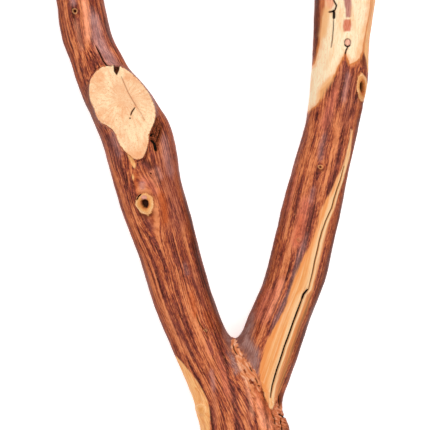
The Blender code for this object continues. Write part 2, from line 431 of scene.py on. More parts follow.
def cut_off(builder, parts, middle, normal, nearness=0.0):
    """Cut off what lies past a plane and close the cut with new faces."""
    done = bmesh.ops.bisect_plane(
        builder, geom=parts, plane_co=middle, plane_no=normal, clear_outer=True, dist=nearness
    )
    rim = [part for part in done["geom_cut"] if isinstance(part, bmesh.types.BMEdge)]
    return bmesh.ops.contextual_create(builder, geom=rim)["faces"]


def cut_square(builder, first_face, stations, end_y):
    """Cut the newest tube square across at a sawn end."""
    builder.faces.ensure_lookup_table()
    faces = builder.faces[first_face:]
    parts = list(dict.fromkeys(part for face in faces for part in (*face.verts, *face.edges)))
    middle, outward = end_plane(stations, end_y)
    cut_off(builder, parts + faces, Vector(middle), Vector(outward))


def rough_stub(builder):
    """The stub as a plain prism, for the remesh to take in."""
    rows = []
    for sunk in (0.0, 20.0):
        row = []
        for x, y in STUB_CURVE:
            row.append(builder.verts.new((x, y, STUB_TOP - sunk + STUB_SLOPE * (y - STUB_MIDDLE_Y))))
        rows.append(row)
    close_rows(builder, rows)


def even_skin():
    """One seamless skin of even quads over the whole branch, in millimetres."""
    builder = bmesh.new()
    for stations, low_y, high_y, sawn_ends in ROUGH_TUBES:
        first_face = len(builder.faces)
        rough_tube(builder, stations, low_y, high_y)
        for end_y in sawn_ends:
            cut_square(builder, first_face, stations, end_y)
    rough_stub(builder)
    bmesh.ops.recalc_face_normals(builder, faces=builder.faces)
    mesh = bpy.data.meshes.new("skin")
    builder.to_mesh(mesh)
    builder.free()
    thing = placed("skin", mesh)
    remesh = thing.modifiers.new("even", "REMESH")
    remesh.mode = "VOXEL"
    remesh.voxel_size = COARSE
    evaluated = thing.evaluated_get(bpy.context.evaluated_depsgraph_get())
    skin = bpy.data.meshes.new_from_object(evaluated)
    bpy.data.objects.remove(thing, do_unlink=True)
    bpy.data.meshes.remove(mesh)
    return skin


def read_rows(items, name, width, kind=float):
    """A value of each of a mesh's items, as rows of the width given."""
    values = np.empty(len(items) * width, kind)
    items.foreach_get(name, values)
    return values.reshape(-1, width)


def relax(points, edges, normals, rounds, share=0.5):
    """Points drawn along the surface towards the middle of their neighbours."""
    count = np.bincount(edges.ravel(), minlength=len(points))[:, None]
    for _ in range(rounds):
        total = np.zeros_like(points)
        np.add.at(total, edges[:, 0], points[edges[:, 1]])
        np.add.at(total, edges[:, 1], points[edges[:, 0]])
        pull = total / count - points
        pull -= normals * (pull * normals).sum(axis=1)[:, None]
        points = points + share * pull
    return points


def split_finer(mesh, points, wanted):
    """Halve the mesh's edges where both ends are wanted."""
    mesh.vertices.foreach_set("co", points.ravel())
    builder = bmesh.new()
    builder.from_mesh(mesh)
    edges = [edge for edge in builder.edges if all(wanted[end.index] for end in edge.verts)]
    bmesh.ops.subdivide_edges(builder, edges=edges, cuts=1, use_grid_fill=True)
    many = [face for face in builder.faces if len(face.verts) > 4]
    bmesh.ops.triangulate(builder, faces=many)
    builder.to_mesh(mesh)
    builder.free()
    return read_rows(mesh.vertices, "co", 3)


def photo_place(px, py):
    """The row-frame place, in millimetres, of a pixel on the branch's upper surface."""
    nearer = (CAMERA_HEIGHT - UPPER_HEIGHT) / (CAMERA_HEIGHT - WIDEST_HEIGHT)
    middle = PHOTO_SIDE / 2.0
    x = (middle - MIDDLE_PX[0]) * PIXEL + (px - middle) * PIXEL * nearer
    y = (MIDDLE_PX[1] - middle) * PIXEL - (py - middle) * PIXEL * nearer
    return x, y


def photo_path(pixels):
    return [photo_place(px, py) for px, py in pixels]


def fade(value, low, high):
    """A smooth step from 0 at low to 1 at high."""
    t = np.clip((value - low) / (high - low), 0.0, 1.0)
    return t * t * (3.0 - 2.0 * t)


# Which side of the branch a crack or knot is on: 1 above, -1 below, and this for under the face's rim
RIM_SIDE = 2

# Heights between which the upper side and the rim's side begin, and those where relief begins
UPPER_BAND = (-9.0, -1.0)
RIM_BAND = (-4.5, -2.5)
RELIEF_BAND = (0.3, 4.0)

# Colour radius of points that are far from every knot
NO_KNOT = 9.0


def sided_share(points, side):
    """1 on the upper side of the branch, on its lower side, or close under the sawn face."""
    _, main_z, _ = line_at(MAIN_LINE, points[..., 1])
    upper = fade(points[..., 2] - main_z, *UPPER_BAND)
    if side == RIM_SIDE:
        return fade(face_height(points), *RIM_BAND)
    return upper if side > 0 else 1.0 - upper


class Knot:
    """A knot: its place and size in pixels, its hole's share of that size, and its relief in millimetres."""

    def __init__(self, px, py, wide, long, hole, rise, sink, pale=1.0, uneven=0.0, side=1):
        self.x, self.y = photo_place(px, py)
        self.wide, self.long = wide * PIXEL, long * PIXEL
        self.hole, self.rise, self.sink = hole, rise, sink
        self.pale, self.uneven, self.side = pale, uneven, side

    def radius(self, points):
        """Distance from the knot's middle as a share of its size, large on the other side."""
        across = (points[..., 0] - self.x) / self.wide
        along = (points[..., 1] - self.y) / self.long
        angle = np.arctan2(along, across)
        lumps = np.sin(2.0 * angle + 0.6) + 0.8 * np.sin(3.0 * angle + 2.2) + 0.5 * np.sin(7.0 * angle)
        radius = np.hypot(across, along) * (1.0 + self.uneven * lumps)
        return radius + NO_KNOT * (1.0 - sided_share(points, self.side))

    def relief(self, points):
        r = self.radius(points)
        ring = self.rise * np.exp(-(((r - 0.68) / 0.3) ** 2))
        moat = 0.4 * self.rise * np.exp(-(((r - 1.16) / 0.15) ** 2))
        if self.hole == 0.0:
            return self.rise * np.exp(-((r / 0.75) ** 4)) - moat
        return ring - moat - self.sink * (1.0 - fade(r, self.hole * 0.7, self.hole * 1.2))


KNOTS = [
    Knot(144.9, 203.6, 9.3, 10.2, 0.40, 0.9, 4.5, uneven=0.06),
    Knot(361.9, 86.5, 5.0, 13.6, 0.36, 0.9, 3.4, uneven=0.05),
    Knot(347.9, 42.3, 3.3, 4.0, 0.0, 0.6, 0.0, pale=0.0),
    Knot(74.2, 10.0, 3.0, 3.0, 0.44, 0.45, 1.8, pale=0.45, uneven=0.06),
    Knot(320.4, 167.0, 2.8, 2.2, 0.34, 0.4, 0.8, pale=0.5, uneven=0.08),
    Knot(298.6, 239.8, 2.6, 2.4, 0.0, 0.35, 0.0, pale=0.16, uneven=0.1),
    Knot(151.0, 173.5, 1.3, 1.3, 0.7, 0.1, 0.9, pale=0.0),
    Knot(205.4, 330.6, 2.0, 1.4, 0.0, 0.4, 0.0, pale=0.5, uneven=0.1),
    Knot(130.2, 118.4, 0.9, 0.9, 0.8, 0.0, 0.9, pale=0.0),
    Knot(201.3, 409.5, 6.4, 6.6, 0.0, 0.9, 0.0, pale=0.7, uneven=0.08),
    Knot(150.0, 250.0, 7.0, 9.0, 0.3, 0.8, 2.6, uneven=0.06, side=-1),
    Knot(338.0, 120.0, 5.5, 8.0, 0.35, 0.7, 2.4, uneven=0.06, side=-1),
    Knot(88.0, 40.0, 3.0, 3.6, 0.3, 0.4, 1.4, pale=0.6, side=-1),
    Knot(280.0, 280.0, 3.4, 4.6, 0.3, 0.5, 1.4, pale=0.7, side=-1),
    Knot(245.0, 440.0, 8.0, 9.5, 0.0, 0.7, 0.0, pale=0.8, uneven=0.06, side=-1),
]


def ring_path(px, py, wide, long, start, stop, count=12):
    """An arc round a place, between two angles in degrees."""
    angles = np.radians(np.linspace(start, stop, count))
    return [(px + wide * math.cos(angle), py + long * math.sin(angle)) for angle in angles]


# Ring round the knot in the plug: middle and half sizes in pixels
PLUG_KNOT_RING = (347.9, 42.3, 3.2, 3.9)

# Cracks and folds: path in pixels, half width and depth in millimetres, side
UPPER_CRACK = [
    (344.5, 166), (340.8, 180), (337.6, 189), (334.6, 198), (332, 208), (326, 221), (322, 232),
    (318.5, 246), (315.6, 258), (313, 271), (310.4, 282), (308.5, 290),
]
LONG_CRACK = [
    (308.5, 290), (304, 295), (301.5, 302), (298, 311), (294, 322), (289, 336), (285, 347),
    (281, 360), (277, 372), (273, 386), (271, 398),
]
CRACKS = [
    (UPPER_CRACK, 0.28, 1.0, 1),
    (LONG_CRACK, 0.62, 2.0, 1),
    ([(308.6, 289.5), (304.2, 294.6), (302, 300.5)], 0.85, 2.2, 1),
    ([(335.5, -30), (333.6, 0), (336.4, 5), (335.4, 8.4), (333.6, 11), (333.8, 19)], 0.42, 1.6, 1),
    ([(328.8, 11.4), (331.4, 11.2), (334.2, 9.8)], 0.5, 1.4, 1),
    ([(333.2, 9.6), (333.6, 13), (333.7, 18.5)], 0.95, 2.2, 1),
    ([(333.8, 18), (333.6, 27), (332.6, 38), (331.4, 47)], 0.16, 0.8, 1),
    (ring_path(*PLUG_KNOT_RING, -200.0, 20.0), 0.16, 0.4, 1),
    (ring_path(*PLUG_KNOT_RING, 30.0, 160.0), 0.42, 0.8, 1),
    ([(348.2, 46.5), (346.4, 50), (345.4, 54)], 0.4, 1.0, 1),
    ([(95.5, 45), (99.5, 53), (103, 60.5), (107, 65), (112, 66)], 0.45, 1.1, 1),
    ([(135, 107.6), (132, 112), (130.8, 115.5)], 0.34, 1.0, 1),
    ([(121.5, 77), (124.5, 84), (128.5, 93), (133, 101), (136, 106)], -0.1, 0.15, 1),
    ([(134.6, 103), (139.5, 111), (144.5, 120)], -0.3, 0.1, 1),
    ([(157.3, 117), (155.6, 126), (152.6, 132), (150.8, 135.5)], 0.38, 1.4, 1),
    ([(150.6, 135.2), (152.6, 135.4), (154.0, 133.6)], 0.6, 1.6, 1),
    ([(151.4, 140), (153.6, 141), (155.8, 143.6), (156.6, 151)], 1.15, 2.0, 1),
    ([(154.2, 124), (153.8, 131), (156.2, 138)], 0.2, 0.6, 1),
    ([(156.6, 143), (158.2, 138.6), (160.0, 133), (161.4, 127)], 0.24, 1.2, 1),
    ([(155.4, 137), (157.4, 131), (158.6, 124)], 0.22, 0.9, 1),
    # A dark line at the face's left edge: partly a crack, partly the painted shadow of the stub's wall
    ([(88.3, 82), (87.6, 92), (89.4, 104)], 0.45, 1.2, RIM_SIDE),
    ([(196.4, 314), (198.4, 321), (202, 327), (206, 332), (208.4, 339)], 0.18, 0.8, 1),
    ([(136.8, 200), (138.4, 196.6), (141, 194.2)], 0.5, 1.2, 1),
    ([(151, 173), (153.5, 179), (157.5, 187)], -0.1, 0.3, 1),
    ([(233, 346), (234.2, 351), (237.4, 355.4)], 0.26, 0.9, 1),
    ([(249.6, 367), (250.8, 369.4), (252.4, 371.6)], 0.24, 0.8, 1),
    ([(255.2, 378), (256.8, 381), (257.4, 383.4)], 0.24, 0.8, 1),
    ([(257.6, 385.4), (259.8, 386.2)], 0.28, 0.8, 1),
    ([(279.4, 396), (279.2, 403), (280.6, 409)], 0.4, 1.2, 1),
    ([(279.8, 414.6), (283, 417), (286, 418.6)], 0.5, 1.5, 1),
    ([(280.8, 419), (281.8, 424), (282.4, 431)], 0.35, 1.2, 1),
    ([(272.2, 413), (274.4, 418), (275.2, 425)], 0.25, 0.8, 1),
    ([(130, 150), (142, 190), (150, 215), (166, 262)], 0.5, 1.6, -1),
    ([(352, 60), (345, 120), (332, 170)], 0.45, 1.4, -1),
    ([(262, 420), (256, 470), (252, 500)], 0.5, 1.6, -1),
    ([(208, 452), (214, 500)], 0.45, 1.4, 1),
]

# Relief near the stub, in millimetres, and the outlines of its notch, its hollow and the fork's ridge
NOTCH_DEPTH = 3.2
HOLLOW_DEPTH = 1.2
PLUG_RISE = 1.1
NOTCH = [(113.6, 64.6), (119.8, 65.2), (119, 70), (116.8, 75), (114.2, 71.4)]
HOLLOW = [
    (157, 118), (155.4, 126), (151.4, 132.6), (149.8, 136), (150.6, 140.6), (153.4, 144), (154.4, 150),
    (156.4, 152.6), (158.4, 148), (159.2, 141), (160.6, 134), (161.8, 127), (160, 121),
]
RIDGE = [(234.2, 342), (235, 350), (240.5, 359), (248, 369), (255, 378), (259, 388)]
RIDGE_FOOT = [(239, 362), (244, 374), (250, 386), (254, 396)]
RIDGES = [(RIDGE, 2.9), (RIDGE_FOOT, 2.0)]

# The seam between the limbs' wood, the line of the long crack, and the cosines of how they lean
LOBE_COSINE = 0.75
CRACK_COSINE = 0.93
BESIDE_LINE = [(352.5, 133), (348, 155)] + UPPER_CRACK[:-1] + LONG_CRACK
LOBE_LINE = [
    (234.5, -60), (234.5, 338), (233.8, 350), (240, 358), (249, 369), (258, 378), (263, 388),
    (276, 402), (292, 414), (330, 430), (420, 520),
]

# The burl: its middle in pixels and its half sizes in millimetres
BURL = (284.0, 418.0)
BURL_WIDE = 11.0
BURL_LONG = 15.0


def drawn_distance(points, pixels):
    """Signed distance of points from a closed outline drawn in pixels, negative inside."""
    return outline_distance(points, photo_path(pixels), OUTLINE_REACH)


def crack_fields(points):
    """Distance outside the nearest crack's dark line, and the depth of all cracks, in millimetres."""
    nearest = np.full(len(points), CRACK_REACH)
    depth = np.zeros(len(points))
    for pixels, half_width, deep, side in CRACKS:
        path = np.array(photo_path(pixels))
        near = near_path(points, path, CRACK_REACH)
        if not near.any():
            continue
        away, along = path_distance(points[near, 0], points[near, 1], path)
        taper = np.clip(np.minimum(along, 1.0 - along) * 5.0, 0.0, 1.0) ** 0.5
        share = sided_share(points[near], side)
        outside = away - half_width * (0.25 + 0.75 * taper) + CRACK_REACH * (1.0 - share)
        nearest[near] = np.minimum(nearest[near], outside)
        groove = deep * (0.2 + 0.8 * taper) * np.exp(-((away / (half_width * 1.5)) ** 2)) * share
        depth[near] = np.maximum(depth[near], groove)
    return nearest, depth


def ripple(points, size, seed):
    """Smooth unevenness between about -1 and 1, with lumps of a given size."""
    chance = np.random.default_rng(seed)
    total = np.zeros(points.shape[:-1])
    for _ in range(7):
        direction = chance.normal(size=3)
        direction *= math.tau / size / np.linalg.norm(direction)
        total += np.sin(points @ direction + chance.uniform(0.0, math.tau))
    return total / 3.2


def ridge_share(points):
    """How much of the fork's rough bark ridge is at each point, on both sides."""
    total = np.zeros(points.shape[:-1])
    for pixels, half_width in RIDGES:
        away, along = path_distance(points[..., 0], points[..., 1], photo_path(pixels))
        away = away + 0.9 * ripple(points, 5.0, 11) + 0.5 * ripple(points, 2.4, 13)
        width = half_width * (0.5 + 0.8 * np.sin(math.pi * np.clip(0.1 + 0.8 * along, 0.0, 1.0)))
        total = np.maximum(total, 1.0 - fade(away, 0.2 * width, 1.6 * width))
    return total


def burl_share(points):
    x, y = photo_place(*BURL)
    away = np.hypot((points[..., 0] - x) / BURL_WIDE, (points[..., 1] - y) / BURL_LONG)
    near = 1.0 - fade(away + 0.12 * ripple(points, 7.0, 12), 0.35, 1.15)
    return near * (0.25 + 0.75 * fade(points[..., 2], 26.0, 45.0))


def relief(points):
    """How far the fine features move the surface outwards, in millimetres."""
    above = sided_share(points, 1)
    total = sum(knot.relief(points) for knot in KNOTS) - crack_fields(points)[1]
    total -= NOTCH_DEPTH * fade(-drawn_distance(points, NOTCH), -0.5, 0.7) * above
    total -= HOLLOW_DEPTH * fade(-drawn_distance(points, HOLLOW), -0.4, 1.6)
    total += PLUG_RISE * fade(-drawn_distance(points, PLUG), -0.4, 0.9) * above
    across = 2.2 * right_of(points, LOBE_LINE, LOBE_COSINE)
    seam = np.stack([across, 0.55 * points[:, 1], points[:, 2]], axis=-1)
    total += ridge_share(points) * (0.8 + 0.28 * ripple(seam, 7.0, 3) + 0.12 * ripple(points, 3.0, 4))
    folds = 1.0 - np.abs(ripple(points, 9.0, 5))
    total += burl_share(points) * (0.9 * folds + 0.45 * ripple(points, 3.4, 6) - 0.6)
    total += 0.12 * ripple(points, 17.0, 7) + 0.05 * ripple(points, 7.0, 8)
    return total * fade(points[:, 2], *RELIEF_BAND)


def fineness(points, level):
    """Which points are near enough to a fine feature to want smaller faces."""
    reach = FINE_REACHES[level]
    rim = outline_distance(points, STUB_CURVE, OUTLINE_REACH)
    wanted = (rim < reach) & (face_height(points) > -3.0)
    if level == 1:
        wanted &= rim > -reach
    wanted |= crack_fields(points)[0] < reach
    for outline in (NOTCH, HOLLOW):
        wanted |= np.abs(drawn_distance(points, outline)) < reach
    if level == 1:
        for knot in KNOTS:
            wanted |= np.abs(knot.radius(points) - knot.hole) * knot.wide < 0.7
        return wanted
    for knot in KNOTS:
        wanted |= knot.radius(points) < 1.0 + reach / (knot.wide + knot.long)
    wanted |= (ridge_share(points) > 0.05) | (burl_share(points) > 0.1)
    for stations, end_y in SAWN_ENDS:
        wanted |= np.abs(end_distance(stations, end_y, points) + 0.6) < 1.1
    return wanted


def grain_vector(stations, points):
    """Place in the wood: across the limb, along it and upwards, with the fibres led round knots."""
    across, upward, half, _ = straightened(stations, points)
    scale = TYPICAL_RADIUS / np.maximum(half, 8.0)
    grain_x = across.copy()
    for knot in KNOTS:
        dy = points[:, 1] - knot.y
        dx = points[:, 0] - knot.x - line_lean(stations, knot.y) * dy
        size = 1.25 * knot.wide
        spread = (dx**2 + (0.42 * dy) ** 2) + 0.05
        push = -dx * np.clip(size**2 / spread, 0.0, 0.92) * np.exp(-spread / (3.2 * size) ** 2)
        grain_x += push * sided_share(points, knot.side)
    return np.stack([grain_x * scale, points[:, 1], upward * scale], axis=-1)


def right_of(points, pixels, cosine):
    """Distance right of a line drawn down the branch in pixels, negative on its left."""
    line = np.array(photo_path(pixels))[::-1]
    return (points[:, 0] - np.interp(points[:, 1], line[:, 1], line[:, 0])) * cosine


# Streaks that shift the wood's tone: strength, half width and path in pixels
LIGHT_STREAKS = [
    (1.0, 2.3, [(82, -8), (86, 24), (87, 40), (86, 52)]),
    (0.6, 1.6, [(63, 0), (66, 25), (70, 45), (80, 85)]),
    (0.9, 1.3, [(72, 38), (75, 50), (77, 62)]),
    (1.1, 1.4, [(82, 51), (84.6, 67)]),
    (0.5, 1.3, [(108, 44), (113, 51), (120, 58), (126, 66)]),
    (0.9, 1.7, [(104, 150), (111, 164), (127, 213), (134, 229), (143, 246)]),
    (0.6, 1.1, [(98, 136), (104, 152), (120, 208), (128, 230), (136, 248)]),
    (0.7, 1.5, [(132, 198), (133, 210), (152, 252)]),
    (0.6, 1.5, [(148, 222), (150, 233), (154, 248), (160, 264), (171, 298)]),
    (0.8, 1.4, [(157, 196), (157, 210), (155.5, 224), (158, 240), (164, 258)]),
    (0.8, 1.9, [(163, 222), (164.5, 236), (169, 252), (179, 284), (186, 300)]),
    (0.8, 1.3, [(163, 168), (167, 184), (172, 197), (177, 234), (181, 252)]),
    (0.9, 1.9, [(182, 218), (184, 232), (188, 250), (193, 268), (199, 286)]),
    (0.5, 1.2, [(171, 128), (179, 164), (182, 182), (187, 202)]),
    (0.9, 1.6, [(148, 268), (154, 286), (171, 326), (180, 346), (190, 366)]),
    (0.6, 1.1, [(142, 256), (156, 296), (164, 316), (173, 338), (181, 353)]),
    (0.9, 2.2, [(184, 296), (206, 352), (211, 372), (217, 415), (219, 440)]),
    (0.6, 1.2, [(192, 262), (203, 300), (210, 318)]),
    (0.7, 1.4, [(176, 328), (184, 346), (194, 364), (203, 384), (211, 404)]),
    (0.6, 1.4, [(213, 340), (219, 356), (224, 372), (229, 392), (232, 415), (234, 440)]),
    (0.8, 1.5, [(240, 390), (243, 406), (247, 422), (250, 440)]),
    (1.0, 2.6, [(256, 384), (263, 436)]),
    (0.7, 1.8, [(266, 394), (275, 445)]),
    (0.9, 1.8, [(342, 62), (341, 74), (334, 100)]),
    (0.8, 1.8, [(358, 62), (351, 66)]),
    (0.9, 1.4, [(325, 104), (323.5, 118), (323, 132), (320, 144)]),
    (0.7, 1.8, [(313, 106), (312, 120), (310, 134), (307, 150), (299, 182)]),
    (0.8, 1.7, [(320, 137), (312, 162), (309, 174)]),
    (1.1, 2.6, [(341, 108), (337, 126), (336, 140), (334, 152), (331, 163)]),
    (0.9, 2.1, [(330, 165), (318, 204)]),
    (0.9, 1.4, [(303, 150), (292, 196), (290, 212), (284, 244)]),
    (0.6, 1.2, [(309, 178), (305, 192), (302, 206)]),
    (0.6, 1.1, [(288, 190), (278, 238)]),
    (1.0, 1.8, [(304, 205), (300, 220), (284, 262), (276, 304)]),
    (0.6, 1.2, [(298, 240), (293, 250), (289, 262), (286, 276)]),
    (0.6, 1.4, [(276, 296), (258, 344)]),
    (0.6, 1.2, [(349, 98), (344, 104), (341, 110)]),
]
DARK_STREAKS = [
    (0.7, 2.4, [(69, -8), (74, 20), (78, 34), (84, 50)]),
    (0.5, 1.6, [(91, -5), (92, 10), (91, 30), (92, 48), (94, 62)]),
    (0.7, 1.6, [(103, 14), (107, 32), (113, 48)]),
    (0.6, 1.3, [(98, 2), (101, 18), (105, 30), (110, 42), (118, 54)]),
    (0.6, 1.2, [(66, 26), (74, 62), (79, 80)]),
    (0.7, 1.5, [(78, 50), (80, 66), (84, 82), (86, 96)]),
    (0.7, 2.2, [(92, 56), (95, 66), (92, 76)]),
    (0.8, 2.2, [(104, 128), (110, 140), (115, 152), (126, 182), (130, 196), (132, 210)]),
    (0.7, 1.1, [(94, 128), (101, 146), (124, 218)]),
    (0.8, 2.2, [(135, 160), (137, 172), (138, 188)]),
    (0.9, 2.4, [(140, 161), (147, 164), (154, 171)]),
    (0.8, 1.8, [(152, 152), (158, 178), (163, 190)]),
    (0.9, 1.8, [(168, 196), (171, 206), (172, 220)]),
    (0.7, 1.3, [(173, 206), (178, 240), (184, 262), (191, 282)]),
    (0.8, 1.9, [(144, 214), (147, 222), (150, 236), (170, 290)]),
    (0.8, 1.6, [(136, 216), (162, 290), (170, 308)]),
    (0.8, 2.0, [(168, 226), (177, 256), (190, 290)]),
    (0.8, 2.0, [(190, 236), (199, 270), (206, 292)]),
    (0.9, 1.8, [(152, 252), (158, 272), (174, 316), (182, 336), (203, 376)]),
    (0.9, 2.0, [(170, 290), (178, 310), (201, 360)]),
    (0.9, 1.2, [(191, 276), (202, 304)]),
    (0.8, 1.6, [(203, 300), (210, 318), (216, 336), (221, 356), (225, 376)]),
    (1.0, 1.3, [(182, 352), (192, 368), (210, 402)]),
    (0.7, 1.5, [(200, 334), (205, 350), (217, 402)]),
    (0.8, 1.5, [(215, 330), (221, 346), (226, 362), (231, 396)]),
    (0.9, 1.8, [(210, 404), (212.5, 420), (214, 440)]),
    (0.8, 2.0, [(231, 380), (233, 396), (240, 432)]),
    (0.8, 1.6, [(247, 390), (249, 402), (254, 416), (258, 432)]),
    (0.8, 1.3, [(263, 384), (266, 410), (270, 428)]),
    (0.6, 1.4, [(220, 402), (225, 434)]),
    (0.7, 1.8, [(243, 366), (247, 378), (250, 390)]),
    (0.9, 1.8, [(337, 66), (331, 88), (329, 100)]),
    (0.9, 1.9, [(346, 56), (346, 68), (337, 110)]),
    (0.8, 1.9, [(354, 68), (351, 80), (349, 94), (345, 108), (343, 122)]),
    (0.9, 2.0, [(358, 92), (350, 118)]),
    (0.8, 1.5, [(318, 108), (317, 122), (315, 136), (311, 150)]),
    (0.8, 2.4, [(330, 108), (328, 122), (320, 160)]),
    (0.9, 2.3, [(344, 124), (337, 168)]),
    (1.0, 2.4, [(338, 168), (326, 198)]),
    (0.8, 2.0, [(317, 170), (309, 196)]),
    (0.8, 1.7, [(304, 170), (301, 184), (297, 198), (295, 214), (291, 228)]),
    (0.6, 1.2, [(294, 176), (290, 190), (287, 204), (281, 238)]),
    (0.8, 2.2, [(316, 200), (312, 214), (309, 230), (305, 244), (300, 258)]),
    (0.8, 1.5, [(286, 234), (275, 280), (272, 296)]),
    (0.8, 1.6, [(295, 250), (287, 278)]),
    (1.0, 2.6, [(304, 250), (298, 266), (288, 297), (281, 312), (272, 328), (266, 342)]),
    (0.6, 1.2, [(272, 226), (268, 244), (262, 280)]),
    (0.7, 1.5, [(268, 306), (261, 322), (255, 338)]),
]

# Tints laid over the heartwood, the strip, the sapwood and the stub's sawn face, in the same form, among
# them painted sheen and painted shadows
PURPLE_STREAKS = [
    (1.0, 7.0, [(162, 146), (167, 166), (180, 236)]),
    (0.8, 4.0, [(140, 160), (148, 166), (155, 176), (158, 186)]),
    (0.7, 3.6, [(108, 134), (120, 168)]),
    (0.8, 3.0, [(142, 216), (148, 220), (154, 232)]),
    (0.7, 3.0, [(76, 14), (79, 30), (84, 46)]),
    (0.6, 3.4, [(104, 20), (108, 34), (116, 48)]),
    (0.9, 3.4, [(347, 62), (335, 92)]),
    (0.9, 4.6, [(354, 70), (343, 132)]),
    (0.8, 4.2, [(331, 104), (324, 146), (319, 164)]),
    (0.7, 4.2, [(318, 178), (312, 202), (301, 252)]),
    (0.7, 3.0, [(343, 140), (339, 156), (327, 196)]),
    (0.7, 3.2, [(304, 255), (293, 288), (267, 342)]),
    (0.6, 3.0, [(291, 190), (281, 238)]),
    (0.7, 3.0, [(230, 382), (240, 432)]),
    (0.7, 2.6, [(211, 366), (214, 392), (215, 430)]),
    (0.7, 2.4, [(241, 366), (246, 382), (250, 432)]),
    (0.6, 3.0, [(191, 262), (197, 284), (204, 306)]),
    (0.6, 2.6, [(168, 310), (180, 336), (196, 362)]),
]
# Painted sheen: lilac-grey where the oil reflects the light
LILAC_SHEEN_STREAKS = [
    (1.0, 5.0, [(91, 8), (97, 38), (103, 50), (110, 60), (119, 66.5)]),
    (0.7, 2.8, [(72, -4), (72.5, 5)]),
    (0.55, 4.0, [(163, 132), (172, 178)]),
    (0.4, 2.4, [(157, 166), (162, 180)]),
    (0.5, 3.2, [(112, 130), (116, 144), (121, 158)]),
    (0.5, 3.0, [(142, 181), (142, 190)]),
    (0.4, 2.4, [(326, 132), (321, 146), (320, 162)]),
    (0.5, 2.4, [(349, 70), (343, 104)]),
    (0.4, 2.2, [(314, 186), (310, 204)]),
    (0.6, 2.8, [(307, 234), (300, 256), (291, 290), (271, 332)]),
    (0.4, 2.0, [(211, 368), (214, 392)]),
    (0.3, 2.4, [(184, 262), (188, 276)]),
]
# Deep brown streaks, some of them painted shadows: below knots, beside the ridge, in the hollow and at the
# stub's edge
DEEP_AND_SHADOW_STREAKS = [
    (1.0, 4.6, [(371, 76), (358, 150), (347, 200), (333, 258), (315, 312), (300, 350), (288, 388)]),
    # The hollow's fold: dark bark with painted shade in it
    (1.0, 3.0, [(156.5, 118), (155, 130), (156.5, 152)]),
    (0.8, 2.2, [(161, 122), (158.5, 144)]),
    # Painted shadow along the ridge's right side
    (0.7, 1.5, [(237, 346), (252, 372)]),
    (0.8, 1.5, [(256, 377), (259.5, 388)]),
    (0.9, 1.6, [(280.5, 392), (279.8, 402), (281, 410)]),
    (0.8, 2.0, [(282, 418), (284, 431)]),
    (0.7, 1.4, [(148.5, 150), (146, 158), (144, 162)]),
    (0.8, 2.4, [(363, 54), (364, 66)]),
    (0.9, 2.4, [(317.5, -30), (317.6, 44), (316, 58)]),
    # Painted shadows below the left knot and below two pin knots
    (0.8, 2.0, [(138, 213), (146, 217.5), (155, 211)]),
    (0.8, 1.7, [(316, 169.5), (320, 170.6), (324.5, 169)]),
    (0.6, 1.8, [(71, 14), (76, 15)]),
    (0.6, 2.6, [(215, 300), (219, 325), (222, 338)]),
    # Painted shadow of the stub's wall along the face's left edge
    (0.7, 2.0, [(88.6, 80), (87.6, 92), (89, 106), (94, 118), (98, 125)]),
    (0.7, 2.0, [(147, 160), (153, 168)]),
    (0.6, 2.6, [(176, 150), (184, 190), (191, 230), (199, 262), (210, 296), (220, 322), (229, 336)]),
    (0.7, 2.6, [(282, 392), (281, 404)]),
]
ROSE_STREAKS = [
    (0.9, 5.0, [(307, 194), (294, 252)]),
    (0.8, 4.6, [(270, 286), (256, 322)]),
    (0.8, 4.6, [(337, 86), (322, 132)]),
    (0.7, 3.4, [(296, 170), (286, 214)]),
    (0.7, 3.4, [(283, 276), (274, 300), (262, 326)]),
    (0.7, 3.4, [(140, 176), (152, 186), (158, 196)]),
    (0.6, 3.0, [(218, 352), (224, 376), (228, 400)]),
    (0.6, 3.0, [(208, 340), (212, 356)]),
]
RED_STREAKS = [
    (1.0, 3.2, [(160, 190), (164, 204), (165, 216), (164, 227)]),
    (0.8, 2.6, [(190, 290), (196, 320)]),
    (0.7, 2.2, [(136, 172), (136, 190)]),
    (0.6, 3.0, [(205, 310), (212, 330)]),
    (0.5, 2.6, [(302, 212), (298, 232), (296, 246)]),
    (0.5, 2.2, [(259, 322), (255, 340)]),
    (0.5, 2.6, [(110, 34), (117, 50), (124, 62)]),
]
CORAL_STREAKS = [
    (1.0, 3.0, [(83, -6), (87, 24), (88, 42)]),
    (0.6, 2.2, [(74, 18), (82, 52)]),
    (0.5, 2.6, [(284, 276), (277, 298), (268, 318)]),
    (0.3, 3.6, [(152, 168), (155, 178), (156, 188)]),
    (1.0, 3.4, [(256, 384), (260, 402), (265, 432)]),
    (0.9, 1.8, [(244, 376), (248, 388), (251, 402), (253, 420)]),
    (1.0, 2.6, [(264, 398), (269, 412), (271, 432)]),
    (1.0, 3.0, [(272, 404), (277, 416), (279, 432)]),
]
AMBER_STREAKS = [
    (1.0, 3.4, [(270, 338), (264, 354), (262, 370), (264, 388), (268, 402)]),
    (0.8, 1.7, [(290, 294), (284, 312), (276, 328), (270, 344)]),
    (0.7, 1.3, [(316, 230), (293, 286)]),
    (0.7, 1.1, [(286, 322), (274, 362)]),
    (0.6, 0.9, [(336, 184), (320, 222)]),
]

